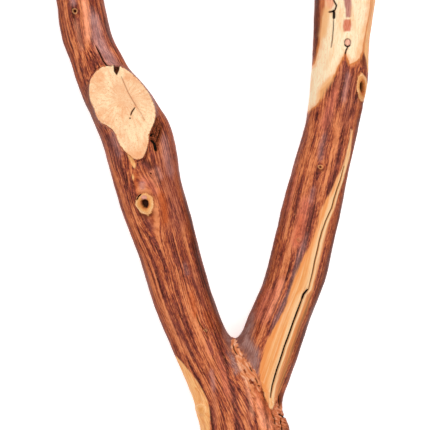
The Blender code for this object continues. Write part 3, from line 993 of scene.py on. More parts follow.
TAN_STREAKS = [
    (1.0, 3.6, [(328, 4), (325.5, 24), (322, 40)]),
    (0.9, 2.8, [(333, 76), (324, 88), (318, 100)]),
    (0.5, 2.6, [(356, 57), (361, 42), (364, 26)]),
    (0.45, 2.0, [(352, 4), (353, 20), (356, 32)]),
    (0.5, 2.0, [(341, 6), (340, 22), (342, 34)]),
    (0.4, 2.2, [(336, 42), (324, 72)]),
    (0.4, 1.8, [(312, 76), (311, 92)]),
]
FACE_STREAKS = [
    (1.0, 0.9, [(121.5, 77), (128.5, 93), (136, 106)]),
    (0.9, 1.2, [(90, 99), (93, 108), (97, 117), (104, 122), (112, 125)]),
    (0.6, 1.6, [(134, 103), (145, 121)]),
    (0.4, 2.6, [(114, 76), (114.5, 90), (113, 104)]),
    (0.5, 9.0, [(116, 78), (138, 108)]),
    (0.45, 7.0, [(130, 76), (143, 90), (150, 108)]),
    (0.3, 3.4, [(118, 128), (126, 142), (134, 150)]),
]

# The purple-grey web of the fork, either side of the ridge: its bark with a painted sheen on it
WEB_LEFT = [
    (224, 328), (229, 334), (234, 337.5), (233.2, 346), (233, 354), (237, 362), (240, 372), (235, 374),
    (231, 363), (228, 351), (225, 340),
]
WEB_RIGHT = [
    (235, 337.5), (243, 331), (248, 323), (252, 313), (254.5, 305), (254.5, 322), (252, 334), (254, 344),
    (259, 350), (259.5, 360), (257.5, 374), (254.5, 373), (249.5, 364), (243.5, 354.5), (237.5, 346),
]


class Patch:
    """A patch of other wood: outlines in pixels, two colours, its rim's colour and its ragged edge."""

    def __init__(self, outlines, low, high, rim=None, ragged=2.0, blur=0.35, side=1, share=1.0):
        self.outlines, self.low, self.high, self.rim = outlines, low, high, rim
        self.ragged, self.blur, self.side, self.share = ragged, blur, side, share

    def distance(self, points):
        away = np.minimum.reduce([drawn_distance(points, outline) for outline in self.outlines])
        uneven = points.copy()
        uneven[:, 2] += 2.6 * ripple(points, 26.0, 21) + 1.2 * ripple(points, 7.0, 22)
        return away + OUTLINE_REACH * (1.0 - sided_share(uneven, self.side))


# Outlines of the patches
STRIP_OUTLINE = [
    (351.6, 129), (349.4, 142), (346.6, 155), (342.5, 168), (336.5, 178), (331.5, 190), (326, 200),
    (320, 211), (318.4, 221), (315.5, 231), (311.8, 241), (307, 251), (301.6, 261), (297, 271),
    (293.4, 281), (290, 291), (287, 301), (283.5, 311), (278, 321), (272.5, 331), (267.5, 341),
    (263.5, 352), (260, 366), (259.8, 378), (263, 391), (267.4, 402), (271.4, 411), (275, 404),
    (278.4, 396), (281, 390), (284.5, 379), (290, 360), (296, 341), (303, 322), (310.5, 301),
    (315.5, 281), (320, 261), (325.5, 241), (330, 221), (334.4, 209), (338, 196), (343, 183),
    (347.4, 168), (350.4, 155), (352.4, 142), (353.4, 130),
]
SAPWOOD = [
    (325, -50), (325.5, -20), (325, 8), (323, 18), (321.8, 31.5), (320.4, 42.5), (317.8, 54), (315.0, 64),
    (300, 72), (298, 100), (306, 114), (312, 108), (316.6, 104.5), (320.2, 98), (320.8, 90), (325, 86),
    (331, 80), (335.0, 73), (338, 66), (342, 58.5), (345.6, 51.5), (348, 57.6), (350.0, 64), (355, 61.5),
    (359.6, 58), (362.4, 50.7), (363.8, 41), (365.8, 31.5), (368, 20.6), (370.2, 8), (371, 0), (372, -20),
    (368, -50),
]
TAN_SIDE = [
    (371, -50), (371.4, 0), (368.6, 20), (365.9, 31), (364.2, 41), (363.6, 49), (367, 58), (368.6, 72),
    (376, 72), (384, 40), (388, 0), (388, -50),
]
SIDE_OUTLINE = [
    (150, 350), (176, 357), (181, 362), (187.6, 369.6), (193.4, 376.4), (198.6, 384), (203.4, 392),
    (207, 400), (209.4, 409), (210, 420), (209.4, 436), (207, 458), (202, 480), (180, 480), (150, 420),
]
KNOT_SKIRT = [(141, 209), (151, 208), (148.4, 216.4), (145.8, 213.6)]
EYE_SKIRT = [(358.4, 84), (360, 93), (363.2, 101.4), (366.4, 98), (368.4, 86), (367.6, 77), (362.6, 73)]
PLUG = [(141.6, 196.6), (144, 195), (146.8, 196.2), (147.4, 198.8), (144.6, 199.6), (142, 199)]
PLUG_KNOT = ring_path(*PLUG_KNOT_RING, 0.0, 324.0, 10)
PURPLE_TONGUE = [
    (343.6, -40), (344, 0), (345.6, 9), (346.4, 17), (351.4, 17), (352, 8), (351.4, 0), (351.6, -40),
]
RED_PATCH = [(344, 19.6), (351, 18.4), (352.2, 25), (350.4, 31), (344.2, 31.4), (342.8, 26)]
CORAL_TOP = [(325, -40), (325.4, 0), (326.8, 7.6), (331, 9), (334, 5), (333.6, 0), (333.4, -40)]
RED_CREASE = [(320.5, -40), (320.5, 6), (321.5, 15), (323.6, 14), (325.2, 6), (325.6, -40)]
FACE_TAILS = [
    [(126.5, 151.5), (130.4, 154), (133.4, 158.5), (135.8, 165), (134.8, 169.6), (132, 165), (129, 158)],
    [(131.6, 173.4), (133.2, 174), (134.2, 178), (133.4, 181.6), (132, 178)],
]
BACK_OUTLINES = [
    [
        (232, 500), (236, 452), (229, 410), (221, 372), (206, 330), (200, 334), (206, 372), (212, 412),
        (216, 452), (214, 500),
    ],
    [(340, 0), (346, 60), (342, 130), (330, 190), (325, 188), (330, 130), (330, 60), (326, 0)],
]

# Linear colours of the oiled wood
BLACK_PURPLE = (0.075, 0.018, 0.012)
DARK_PURPLE = (0.165, 0.037, 0.026)
PURPLE = (0.265, 0.062, 0.042)
RED_BROWN = (0.375, 0.080, 0.036)
ORANGE_BROWN = (0.50, 0.125, 0.048)
ORANGE = (0.66, 0.200, 0.074)
LIGHT_ORANGE = (0.79, 0.275, 0.112)
DEEP_BROWN = (0.150, 0.034, 0.012)
GLOWING_RED = (0.46, 0.085, 0.020)
# Painted sheen of the oil, in lilac-grey
LILAC_SHEEN = (0.53, 0.27, 0.245)
WEB_DARK = (0.225, 0.100, 0.082)
# Lighter grey-purple of the web: the bark's own colour with a painted sheen
WEB_LIGHT_SHEEN = (0.50, 0.295, 0.260)
CORAL = (0.74, 0.25, 0.155)
BRIGHT_CORAL = (0.86, 0.33, 0.18)
PALE_CORAL = (0.93, 0.48, 0.29)
WINE = (0.28, 0.078, 0.058)
ROSE = (0.51, 0.130, 0.082)
TINT_ORANGE = (0.70, 0.29, 0.085)
SAP_PALE = (0.99, 0.84, 0.58)
SAP_TAN = (0.97, 0.66, 0.38)
SAP_ORANGE = (0.91, 0.47, 0.23)
TONGUE_PURPLE = (0.38, 0.125, 0.095)
TONGUE_PALE = (0.58, 0.26, 0.205)
PLUG_ROSE = (0.74, 0.33, 0.24)
PLUG_PALE = (0.90, 0.50, 0.34)
TAN = (0.90, 0.46, 0.19)
TAN_PAINTED_SHADE = (0.60, 0.30, 0.135)
RIM_ORANGE = (0.66, 0.21, 0.060)
SIDE_ORANGE = (0.80, 0.30, 0.085)
SIDE_PALE = (0.92, 0.50, 0.20)
SKIRT_TAN = (0.90, 0.47, 0.18)
RING_TAN = (0.84, 0.42, 0.15)
RING_PALE = (0.94, 0.58, 0.29)
FLECK_ORANGE = (0.80, 0.285, 0.105)
CRACK_BROWN = (0.20, 0.045, 0.014)
CREAM = (0.90, 0.63, 0.36)
RIDGE_RED = (0.58, 0.15, 0.060)
CRACK_BLACK = (0.010, 0.006, 0.004)
PIT_BROWN = (0.040, 0.012, 0.006)
HOLLOW_BROWN = (0.15, 0.034, 0.014)
STRIP_ORANGE = (0.85, 0.32, 0.11)
STRIP_TAN = (0.90, 0.45, 0.19)
AMBER = (0.82, 0.275, 0.075)
BURL_PALE_HIGHLIGHT = (0.90, 0.41, 0.24)
FACE_CREAM = (0.985, 0.74, 0.45)
FACE_TAN = (0.86, 0.36, 0.155)
FACE_PINK = (0.78, 0.29, 0.13)
END_PALE = (0.84, 0.52, 0.27)
END_HEART = (0.47, 0.135, 0.060)
END_RED = (0.30, 0.062, 0.028)

# How the mottling and growth rings darken the wood, the painted shade of the branch's sides and of knots
# there, and its surface
MOTTLE_SHADE = (0.78, 0.70, 0.70)
SIDE_PAINTED_SHADE = (0.57, 0.37, 0.25)
KNOT_SIDE_PAINTED_SHADE = (0.70, 0.54, 0.44)
RING_SHADE = (0.56, 0.40, 0.32)
OIL_SPECULAR = 0.025
BUMP_STRENGTH = 0.6
BUMP_DISTANCE = 0.0004

# Noise that bends the grain: scale across and along the fibres, and how far it moves them
GRAIN_BENDS = [(0.03, 0.011, 8.0), (0.10, 0.045, 1.6)]

# Noise that makes the streaks: scale across and along the fibres, detail, roughness and weight
FINE_SCALE = 0.9
STREAK_NOISES = [
    (0.085, 0.0040, 2.0, 0.50, 0.32),
    (0.210, 0.0060, 2.0, 0.55, 0.62),
    (0.480, 0.0080, 2.0, 0.55, 0.95),
    (0.950, 0.0130, 3.0, 0.60, 1.65),
    (1.200, 0.3000, 2.0, 0.65, 1.15),
]

# How far the drawn light and dark streaks move the share of light wood, and its colours
LIGHT_LIFT = 0.33
DARK_SINK = 0.36
STREAK_COLOURS = [
    (0.06, BLACK_PURPLE), (0.22, DARK_PURPLE), (0.36, PURPLE), (0.47, RED_BROWN),
    (0.57, ORANGE_BROWN), (0.72, ORANGE), (0.95, LIGHT_ORANGE),
]

# Colours of the knots from their middle outwards, dark in the middle as painted shade in the pits, and of
# the rough wood from its folds upwards
KNOT_COLOURS = [
    (0.0, PIT_BROWN), (0.36, DEEP_BROWN), (0.44, ORANGE_BROWN), (0.56, TINT_ORANGE),
    (0.70, RING_TAN), (0.86, RING_PALE), (0.97, TAN),
]
# The rough wood's dark folds and pale tops are painted shade and painted highlight over its own reds and
# corals
BURL_COLOURS = [(0.34, DEEP_BROWN), (0.43, RIDGE_RED), (0.51, ORANGE), (0.64, BURL_PALE_HIGHLIGHT)]
RIDGE_COLOURS = [(0.30, RIDGE_RED), (0.41, ORANGE), (0.50, LIGHT_ORANGE), (0.63, PALE_CORAL)]

# Bands of the strip beside the long crack: millimetres right of the crack, and colour
STRIP_LEFT = -14.0
STRIP_WIDTH = 24.0
STRIP_BANDS = [
    (STRIP_LEFT, SIDE_ORANGE), (-9.5, STRIP_TAN), (-6.5, SIDE_ORANGE), (-4.2, STRIP_TAN), (-1.8, CREAM),
    (0.4, TAN), (1.0, CREAM), (1.9, CREAM), (2.7, ORANGE), (4.0, ORANGE_BROWN), (6.0, DEEP_BROWN),
    (STRIP_LEFT + STRIP_WIDTH, DEEP_BROWN),
]

# The patches, in the order they are painted
PATCHES = {
    "web": Patch([WEB_LEFT, WEB_RIGHT], WEB_DARK, WEB_LIGHT_SHEEN, ragged=5.0, blur=3.6, share=0.85),
    "strip": Patch([STRIP_OUTLINE], SIDE_ORANGE, SIDE_PALE, ragged=3.6, blur=0.8),
    "side": Patch([SIDE_OUTLINE], SIDE_ORANGE, SIDE_PALE, ragged=2.0, blur=0.5),
    # Pale tan at the right limb's outer side, duller there as painted shade
    "tan_side": Patch([TAN_SIDE], TAN_PAINTED_SHADE, SKIRT_TAN, ragged=1.0, blur=0.6),
    "sapwood": Patch([SAPWOOD], SAP_TAN, SAP_PALE, rim=RIM_ORANGE, ragged=2.4),
    "back_sapwood": Patch(BACK_OUTLINES, SAP_TAN, SAP_PALE, rim=RIM_ORANGE, ragged=2.6, side=-1),
    "plug_knot": Patch([PLUG_KNOT], PLUG_ROSE, PLUG_PALE, ragged=0.6),
    "purple_tongue": Patch([PURPLE_TONGUE], TONGUE_PURPLE, TONGUE_PALE, ragged=2.0, blur=0.9),
    "red_patch": Patch([RED_PATCH], RIDGE_RED, CORAL, ragged=2.4, blur=1.0),
    "coral_top": Patch([CORAL_TOP], BRIGHT_CORAL, PALE_CORAL, ragged=2.4, blur=1.2),
    "red_crease": Patch([RED_CREASE], RED_BROWN, ORANGE, ragged=1.6, blur=0.9),
    # The hollow's fold: dark bark with painted shade in it
    "hollow": Patch([HOLLOW], PIT_BROWN, HOLLOW_BROWN, ragged=1.2, blur=0.7),
    "tails": Patch(FACE_TAILS, SIDE_ORANGE, SIDE_PALE, ragged=1.0),
    "skirts": Patch([KNOT_SKIRT, EYE_SKIRT], SKIRT_TAN, SIDE_PALE, ragged=1.0),
}

# Streaks whose fields the material reads by these names
SHADES = {
    "light": LIGHT_STREAKS,
    "dark": DARK_STREAKS,
    "tan": TAN_STREAKS,
    "amber": AMBER_STREAKS,
    "face_tint": FACE_STREAKS,
}

# Tints over the heartwood, among them painted sheen and painted shadows: streaks, colour and share
TINTS = {
    "purple": (PURPLE_STREAKS, WINE, 0.55),
    "rose": (ROSE_STREAKS, ROSE, 0.80),
    "lilac": (LILAC_SHEEN_STREAKS, LILAC_SHEEN, 0.85),
    "red": (RED_STREAKS, GLOWING_RED, 0.75),
    "coral": (CORAL_STREAKS, BRIGHT_CORAL, 0.85),
    "deep": (DEEP_AND_SHADOW_STREAKS, DEEP_BROWN, 0.85),
}


def streak_weight(points, streaks):
    """How strongly some soft-edged streaks colour each point."""
    total = np.zeros(len(points))
    for strength, half_width, pixels in streaks:
        path = np.array(photo_path(pixels))
        near = near_path(points, path, OUTLINE_REACH)
        away, along = path_distance(points[near, 0], points[near, 1], path)
        taper = fade(np.minimum(along, 1.0 - along), -0.02, 0.16)
        width = half_width * PIXEL * (0.6 + 0.4 * taper)
        weight = strength * (0.25 + 0.75 * taper) * np.exp(-((away / (1.15 * width)) ** 3))
        total[near] = np.maximum(total[near], weight)
    return total * sided_share(points, 1)


def knot_fields(points):
    """Nearest knot's colour radius, how pale its ring is, and the distance from its hole."""
    ring = np.full(len(points), NO_KNOT)
    pale = np.zeros(len(points))
    hole = np.full(len(points), NO_KNOT)
    for knot in KNOTS:
        radius = knot.radius(points)
        coloured = radius if knot.hole > 0.0 else 0.5 + 0.5 * radius
        pale = np.where(coloured < ring, knot.pale, pale)
        ring = np.minimum(ring, coloured)
        if knot.hole > 0.0:
            hole = np.minimum(hole, (radius - knot.hole) * min(knot.wide, 3.0))
    return ring, pale, hole


def end_fields(points):
    """Distance past the nearest sawn end, distance from its pith and direction from it."""
    ends = np.full(len(points), -FAR)
    pith = np.full(len(points), PITH_FAR)
    spoke = np.zeros(points.shape)
    for stations, end_y in SAWN_ENDS:
        past = end_distance(stations, end_y, points)
        from_pith = points - line_point(stations, end_y) - PITH_OFFSET
        away = np.linalg.norm(from_pith, axis=1)
        closer = (past > ends) & (away < END_REACH)
        ends = np.where(closer, past, ends)
        pith = np.where(closer, away, pith)
        spoke[closer] = from_pith[closer] / np.maximum(away[closer], 1.0)[:, None]
    return ends, pith, spoke


def colour_fields(points):
    """The vertex fields that the wood's material reads, in millimetres or shares."""
    ring, pale, hole = knot_fields(points)
    ends, pith, spoke = end_fields(points)
    hidden = OUTLINE_REACH * (1.0 - sided_share(points, 1))
    face = outline_distance(points, STUB_CURVE, OUTLINE_REACH)
    lobe = right_of(points, LOBE_LINE, LOBE_COSINE)
    across, _, half, _ = straightened(MAIN_LINE, points)
    far_across, _, far_half, _ = straightened(RIGHT_LINE, points)
    fields = {
        "grain_main": grain_vector(MAIN_LINE, points),
        "grain_right": grain_vector(RIGHT_LINE, points),
        "place": points,
        "face": face + 3.0 * np.clip(-0.8 - face_height(points), 0.0, 9.0),
        "crack": crack_fields(points)[0],
        "notch": drawn_distance(points, NOTCH) + hidden,
        "plug": drawn_distance(points, PLUG) + hidden,
        "beside": right_of(points, BESIDE_LINE, CRACK_COSINE),
        "lobe": lobe,
        "ridge": ridge_share(points),
        "burl": burl_share(points),
        "sideways": np.where(lobe < 0.0, np.abs(across) / half, np.abs(far_across) / far_half),
        "ring": ring,
        "ring_pale": pale,
        "hole": hole,
        "ends": ends,
        "pith": pith,
        "spoke": spoke,
    }
    fields |= {name: patch.distance(points) for name, patch in PATCHES.items()}
    fields |= {name: streak_weight(points, streaks) for name, streaks in SHADES.items()}
    fields |= {name: streak_weight(points, streaks) for name, (streaks, _, _) in TINTS.items()}
    return fields


def store_fields(mesh, fields):
    for name, values in fields.items():
        kind, slot = ("FLOAT", "value") if values.ndim == 1 else ("FLOAT_VECTOR", "vector")
        layer = mesh.attributes.new(name, kind, "POINT")
        layer.data.foreach_set(slot, values.astype(np.float32).ravel())


def whole_mesh():
    """The branch as one closed mesh with its fine relief, colour fields and smooth normals."""
    mesh = even_skin()
    points, normals = settle(read_rows(mesh.vertices, "co", 3), 4)
    points = relax(points, read_rows(mesh.edges, "vertices", 2, int), normals, 4)
    points, normals = settle(points, 2)
    for level in range(FINER_LEVELS):
        points = split_finer(mesh, points, fineness(points, level))
        points, normals = settle(points, 2)
    points = relax(points, read_rows(mesh.edges, "vertices", 2, int), normals, 2, share=0.35)
    points, normals = settle(points, 2)
    store_fields(mesh, colour_fields(points))
    low, high = np.array(cad_box) / MM
    low[2] = 0.0
    moved = np.clip(points + normals * relief(points)[:, None], low, high - 0.02)
    mesh.vertices.foreach_set("co", (moved * MM).ravel())
    mesh.update()
    store_fields(mesh, {"smooth": read_rows(mesh.vertex_normals, "vector", 3)})
    return mesh


def keep_smooth(mesh):
    """Give a cut piece the whole branch's normals, so that no seam shows where it was cut."""
    smooth = mesh.attributes["smooth"]
    corners = read_rows(mesh.loops, "vertex_index", 1, int)[:, 0]
    normals = read_rows(smooth.data, "vector", 3)[corners]
    for face in mesh.polygons:
        if not face.use_smooth:
            normals[face.loop_start:face.loop_start + face.loop_total] = face.normal
    mesh.normals_split_custom_set([Vector(normal).normalized() for normal in normals])
    mesh.attributes.remove(smooth)


def branch_piece(name, whole, cuts):
    """One closed piece of the branch, cut from the whole by planes."""
    builder = bmesh.new()
    builder.from_mesh(whole)
    for middle, normal in cuts:
        everything = builder.verts[:] + builder.edges[:] + builder.faces[:]
        for cap in cut_off(builder, everything, Vector(middle) * MM, normal, 1e-7):
            cap.smooth = False
    mesh = bpy.data.meshes.new(name)
    builder.to_mesh(mesh)
    builder.free()
    keep_smooth(mesh)
    return placed(name, mesh)


def set_ramp(node, stops):
    """Put colours at places from 0 to 1 on a ramp node."""
    marks = node.color_ramp.elements
    while len(marks) < len(stops):
        marks.new(0.5)
    for mark, (place, colour) in zip(marks, stops):
        mark.position = place
        mark.color = (*colour, 1.0)


class Nodes:
    """Short ways to make and join shader nodes in one material."""

    def __init__(self, name):
        self.material = bpy.data.materials.new(name)
        self.material.use_nodes = True
        self.tree = self.material.node_tree
        self.shader = self.tree.nodes["Principled BSDF"]

    def add(self, kind, inputs, **settings):
        node = self.tree.nodes.new(kind)
        for key, value in settings.items():
            setattr(node, key, value)
        for key, value in inputs.items():
            if isinstance(value, bpy.types.NodeSocket):
                self.tree.links.new(value, node.inputs[key])
            else:
                node.inputs[key].default_value = value
        return node

    def vector(self, name):
        return self.add("ShaderNodeAttribute", {}, attribute_name=name).outputs["Vector"]

    def value(self, name):
        return self.add("ShaderNodeAttribute", {}, attribute_name=name).outputs["Fac"]

    def parts(self, vector):
        return self.add("ShaderNodeSeparateXYZ", {0: vector}).outputs

    def joined(self, x, y=0.0, z=0.0):
        return self.add("ShaderNodeCombineXYZ", {0: x, 1: y, 2: z}).outputs[0]

    def math(self, operation, a, b=0.0, c=0.0, clamp=False):
        node = self.add("ShaderNodeMath", {0: a, 1: b, 2: c}, operation=operation, use_clamp=clamp)
        return node.outputs[0]

    def times(self, a, b):
        return self.math("MULTIPLY", a, b)

    def scaled(self, vector, factors):
        node = self.add("ShaderNodeVectorMath", {0: vector, 1: factors}, operation="MULTIPLY")
        return node.outputs[0]

    def moved(self, vector, offset):
        node = self.add("ShaderNodeVectorMath", {0: vector, 1: offset}, operation="ADD")
        return node.outputs[0]

    def noise(self, vector, scale, detail, roughness, shift=0.0, output="Fac"):
        """Noise of one scale for all directions, or of one for each."""
        factors = scale if isinstance(scale, tuple) else (scale, scale, scale)
        place = self.moved(self.scaled(vector, factors), (shift, 0.0, 0.0))
        inputs = {"Vector": place, "Scale": 1.0, "Detail": detail, "Roughness": roughness}
        return self.add("ShaderNodeTexNoise", inputs).outputs[output]

    def step(self, value, low, high):
        """A smooth step from 0 at low to 1 at high; a falling one where low is above high."""
        turned = low > high
        inputs = {0: value, 1: min(low, high), 2: max(low, high), 3: float(turned), 4: float(not turned)}
        return self.add("ShaderNodeMapRange", inputs, interpolation_type="SMOOTHSTEP").outputs[0]

    def ramp(self, value, stops):
        """Colours at places from 0 to 1, blended between."""
        node = self.add("ShaderNodeValToRGB", {0: value})
        set_ramp(node, stops)
        return node.outputs[0]

    def mix(self, share, a, b, blend="MIX"):
        inputs = {0: share}
        for index, colour in ((6, a), (7, b)):
            inputs[index] = (*colour, 1.0) if isinstance(colour, tuple) else colour
        return self.add("ShaderNodeMix", inputs, data_type="RGBA", blend_type=blend).outputs[2]

    def shaded(self, colour, factors):
        return self.mix(1.0, colour, factors, "MULTIPLY")

    def over(self, tone, colour, value, low, high, share=1.0):
        """A tone with a colour over it where a value has gone from low to high."""
        return self.mix(self.times(self.step(value, low, high), share), tone, colour)

    def finish(self, name, value):
        self.tree.links.new(value, self.shader.inputs[name])


class WoodNodes(Nodes):
    """The wood's material, with the places and the noise that its parts share."""

    def __init__(self):
        super().__init__("oiled_wood")
        self.place = self.vector("place")
        self.main_grain, self.right_grain = self.vector("grain_main"), self.vector("grain_right")
        self.to_right = self.step(self.value("lobe"), -2.0, 2.0)
        inputs = {0: self.to_right, 4: self.main_grain, 5: self.right_grain}
        grain = self.add("ShaderNodeMix", inputs, data_type="VECTOR").outputs[1]
        self.grain = grain
        self.fibre = self.noise(grain, (1.6, 0.12, 1.6), 3.0, 0.6)
        self.rough = self.noise(grain, (0.55, 0.09, 0.55), 4.0, 0.62)
        self.fleck = self.noise(grain, (1.1, 0.35, 1.1), 2.0, 0.6)
        self.lines = self.noise(grain, (0.7, 0.02, 0.7), 3.0, 0.6)
        self.mottle = self.noise(self.place, 0.11, 3.0, 0.6)
        self.speck = self.noise(self.place, 1.1, 3.0, 0.65)


def streaked_wood(n, grain, seed, wide, fine, middle):
    """Long heartwood streaks, dark purple to light orange, and the share that made them.

    wide and fine are how strong the noise's wider and finer streaks are, and middle is the usual share.
    """
    shifted = n.moved(grain, (seed, 0.0, seed))
    bent = shifted
    for across, along, bend in GRAIN_BENDS:
        wander = n.noise(shifted, (across, along, across), 1.0, 0.5, output="Color")
        bent = n.moved(bent, n.scaled(n.moved(wander, (-0.5, -0.5, -0.5)), (bend, 0.0, bend)))
    share = n.math("MULTIPLY_ADD", n.value("light"), LIGHT_LIFT, middle)
    share = n.math("MULTIPLY_ADD", n.value("dark"), -DARK_SINK, share)
    for across, along, detail, roughness, weight in STREAK_NOISES:
        weight *= wide if across < FINE_SCALE else fine
        layer = n.noise(bent, (across, along, across), detail, roughness)
        share = n.math("MULTIPLY_ADD", layer, weight, n.math("ADD", share, -0.5 * weight))
    share = n.math("ADD", share, 0.0, clamp=True)
    return n.ramp(share, STREAK_COLOURS), share


def paint_heartwood(n):
    """The streaked wood with its tints, painted sheen and shadows, and flecks, painted shade at the sides,
    and its share of light streaks.
    """
    main_wood, main_share = streaked_wood(n, n.main_grain, seed=3.0, wide=1.0, fine=1.05, middle=0.50)
    right_wood, right_share = streaked_wood(n, n.right_grain, seed=41.0, wide=0.60, fine=1.20, middle=0.55)
    wood = n.mix(n.to_right, main_wood, right_wood)
    share = n.times(main_share, n.math("SUBTRACT", 1.0, n.to_right))
    share = n.math("ADD", share, n.times(right_share, n.to_right))
    bright = n.math("MULTIPLY_ADD", share, 0.9, 0.55)
    for name, (_, colour, strength) in TINTS.items():
        weight = n.times(n.value(name), n.math("MULTIPLY_ADD", n.fibre, 1.7, 0.15))
        wood = n.mix(n.times(weight, strength), wood, n.shaded(colour, bright))
    wood = n.over(wood, n.shaded(wood, MOTTLE_SHADE), n.mottle, 0.42, 0.72)
    # Painted shade: the wood darker towards the limbs' sides, where they turn away from the light
    wood = n.over(wood, n.shaded(wood, SIDE_PAINTED_SHADE), n.value("sideways"), 0.70, 1.0)
    lit = n.math("SUBTRACT", 1.0, n.value("deep"))
    wood = n.mix(n.times(n.step(n.fleck, 0.60, 0.74), n.times(lit, 0.45)), wood, FLECK_ORANGE)
    return n.over(wood, DARK_PURPLE, n.fleck, 0.40, 0.28, 0.4), share


def patch_edge(n, distance, ragged, blur):
    """1 inside a patch whose edge is roughened."""
    uneven = n.math("MULTIPLY_ADD", n.rough, ragged, -0.5 * ragged)
    return n.step(n.math("ADD", distance, uneven), blur, -blur)


def strip_tone(n, tone, distance):
    """The strip beside the long crack, banded along it and orange at its left edge."""
    bands = n.math("MULTIPLY_ADD", n.value("beside"), 1.0 / STRIP_WIDTH, -STRIP_LEFT / STRIP_WIDTH)
    bands = n.math("MULTIPLY_ADD", n.fibre, 0.05, n.math("ADD", bands, -0.025))
    stops = [((away - STRIP_LEFT) / STRIP_WIDTH, colour) for away, colour in STRIP_BANDS]
    tone = n.mix(0.78, tone, n.ramp(bands, stops))
    margin = n.step(n.math("MULTIPLY_ADD", n.rough, 6.0, n.math("ADD", distance, -3.0)), -5.0, -0.5)
    left_part = n.step(n.value("beside"), -0.8, -2.4)
    tone = n.mix(n.times(n.times(margin, left_part), 0.75), tone, STRIP_ORANGE)
    tone = n.over(tone, SIDE_ORANGE, n.lines, 0.48, 0.62, 0.6)
    tone = n.over(tone, SAP_TAN, n.lines, 0.44, 0.34, 0.4)
    return n.mix(n.times(n.value("amber"), n.math("MULTIPLY_ADD", n.lines, 2.0, -0.3)), tone, AMBER)


def paint_patches(n, wood):
    """The patches of sapwood, bark web and coloured wood, one over the other, with a painted sheen on the
    web and painted shade in the hollow and the tan side.
    """
    for name, patch in PATCHES.items():
        distance = n.value(name)
        tone = n.over(patch.low, patch.high, n.fibre, 0.34, 0.60)
        if patch.rim:
            rim = patch_edge(n, n.math("SUBTRACT", distance, 1.2), 1.6 * patch.ragged, 1.0)
            wood = n.mix(rim, wood, patch.rim)
            inner = n.math("MULTIPLY_ADD", n.mottle, 9.0, n.math("ADD", distance, -4.5))
            tone = n.over(tone, SAP_ORANGE, inner, -4.0, 0.0, 0.8)
            tone = n.over(tone, SAP_ORANGE, n.fleck, 0.57, 0.68, 0.6)
        if name == "strip":
            tone = strip_tone(n, tone, distance)
        if name in ("side", "tan_side"):
            tone = n.over(tone, ORANGE, n.lines, 0.48, 0.64, 0.6)
            tone = n.over(tone, SAP_TAN, n.lines, 0.44, 0.34, 0.4)
        # The hollow's orange specks are painted glints on its folds
        if name == "hollow":
            tone = n.over(tone, ORANGE_BROWN, n.speck, 0.46, 0.62, 0.8)
        if name == "web":
            tone = n.over(WEB_DARK, tone, n.mottle, 0.36, 0.64)
        inside = n.times(patch_edge(n, distance, patch.ragged, patch.blur), patch.share)
        wood = n.mix(inside, wood, tone)
    return n.mix(n.times(n.value("tan"), 0.8), wood, TAN)


def paint_knots(n, wood):
    """Pale rings with dark pits, and the wood darker round them."""
    wave = n.noise(n.place, 0.7, 2.0, 0.6)
    ring = n.math("MULTIPLY_ADD", wave, 0.34, n.math("ADD", n.value("ring"), -0.17))
    pale = n.value("ring_pale")
    around = n.times(n.step(ring, 1.4, 1.02), n.times(n.step(pale, 0.75, 0.95), 0.4))
    wood = n.mix(around, wood, DEEP_BROWN)
    uneven = n.noise(n.place, 0.13, 2.0, 0.6, shift=4.0)
    tone = n.over(n.ramp(ring, KNOT_COLOURS), TINT_ORANGE, uneven, 0.42, 0.58, 0.55)
    tone = n.over(tone, RIM_ORANGE, n.math("SINE", n.times(ring, 34.0)), 0.2, 1.0, 0.45)
    # Painted shade: knots at the limbs' sides darkened like the wood round them
    turned = n.times(n.step(n.value("sideways"), 0.62, 0.90), n.step(n.value("lobe"), 0.0, 2.0))
    tone = n.mix(n.times(turned, 0.8), tone, n.shaded(tone, KNOT_SIDE_PAINTED_SHADE))
    return n.mix(n.times(n.step(ring, 1.03, 0.96), pale), wood, tone)


def paint_face(n, wood):
    """The stub's sawn face: cream and tan, with faint rings, rays and pink streaks."""
    face = n.value("face")
    x, y, _ = n.parts(n.moved(n.place, FACE_SHIFT))
    polar = n.joined(n.times(n.math("ARCTAN2", y, x), 9.0), n.times(face, 0.10))
    rings = n.math("SINE", n.math("MULTIPLY_ADD", face, 1.25, n.times(n.mottle, 11.0)))
    nicks = n.noise(n.place, (0.8, 0.35, 0.8), 2.0, 0.6, shift=9.0)
    tone = n.over(FACE_CREAM, FACE_TAN, n.noise(n.place, 0.06, 6.0, 0.62), 0.40, 0.68, 0.8)
    tone = n.over(tone, FACE_TAN, n.noise(polar, 1.0, 3.0, 0.65), 0.44, 0.66, 0.45)
    tone = n.over(tone, FACE_TAN, rings, 0.1, 1.0, 0.14)
    tone = n.mix(n.times(n.value("face_tint"), 0.6), tone, FACE_PINK)
    tone = n.over(tone, FACE_PINK, n.speck, 0.54, 0.64, 0.5)
    tone = n.over(tone, RIM_ORANGE, nicks, 0.66, 0.72, 0.55)
    tone = n.over(tone, SAP_PALE, nicks, 0.38, 0.28, 0.5)
    chips = n.noise(n.place, 0.42, 3.0, 0.65)
    ragged = n.math("MULTIPLY_ADD", chips, 5.0, n.math("ADD", face, -2.5))
    # Just outside the face's edge: dark bark and painted shade on the stub's wall, then an orange rim
    wood = n.over(wood, DEEP_BROWN, ragged, 2.1, 0.6, 0.8)
    wood = n.over(wood, RIM_ORANGE, ragged, 0.75, 0.35)
    return n.over(wood, tone, ragged, 0.15, -0.15)


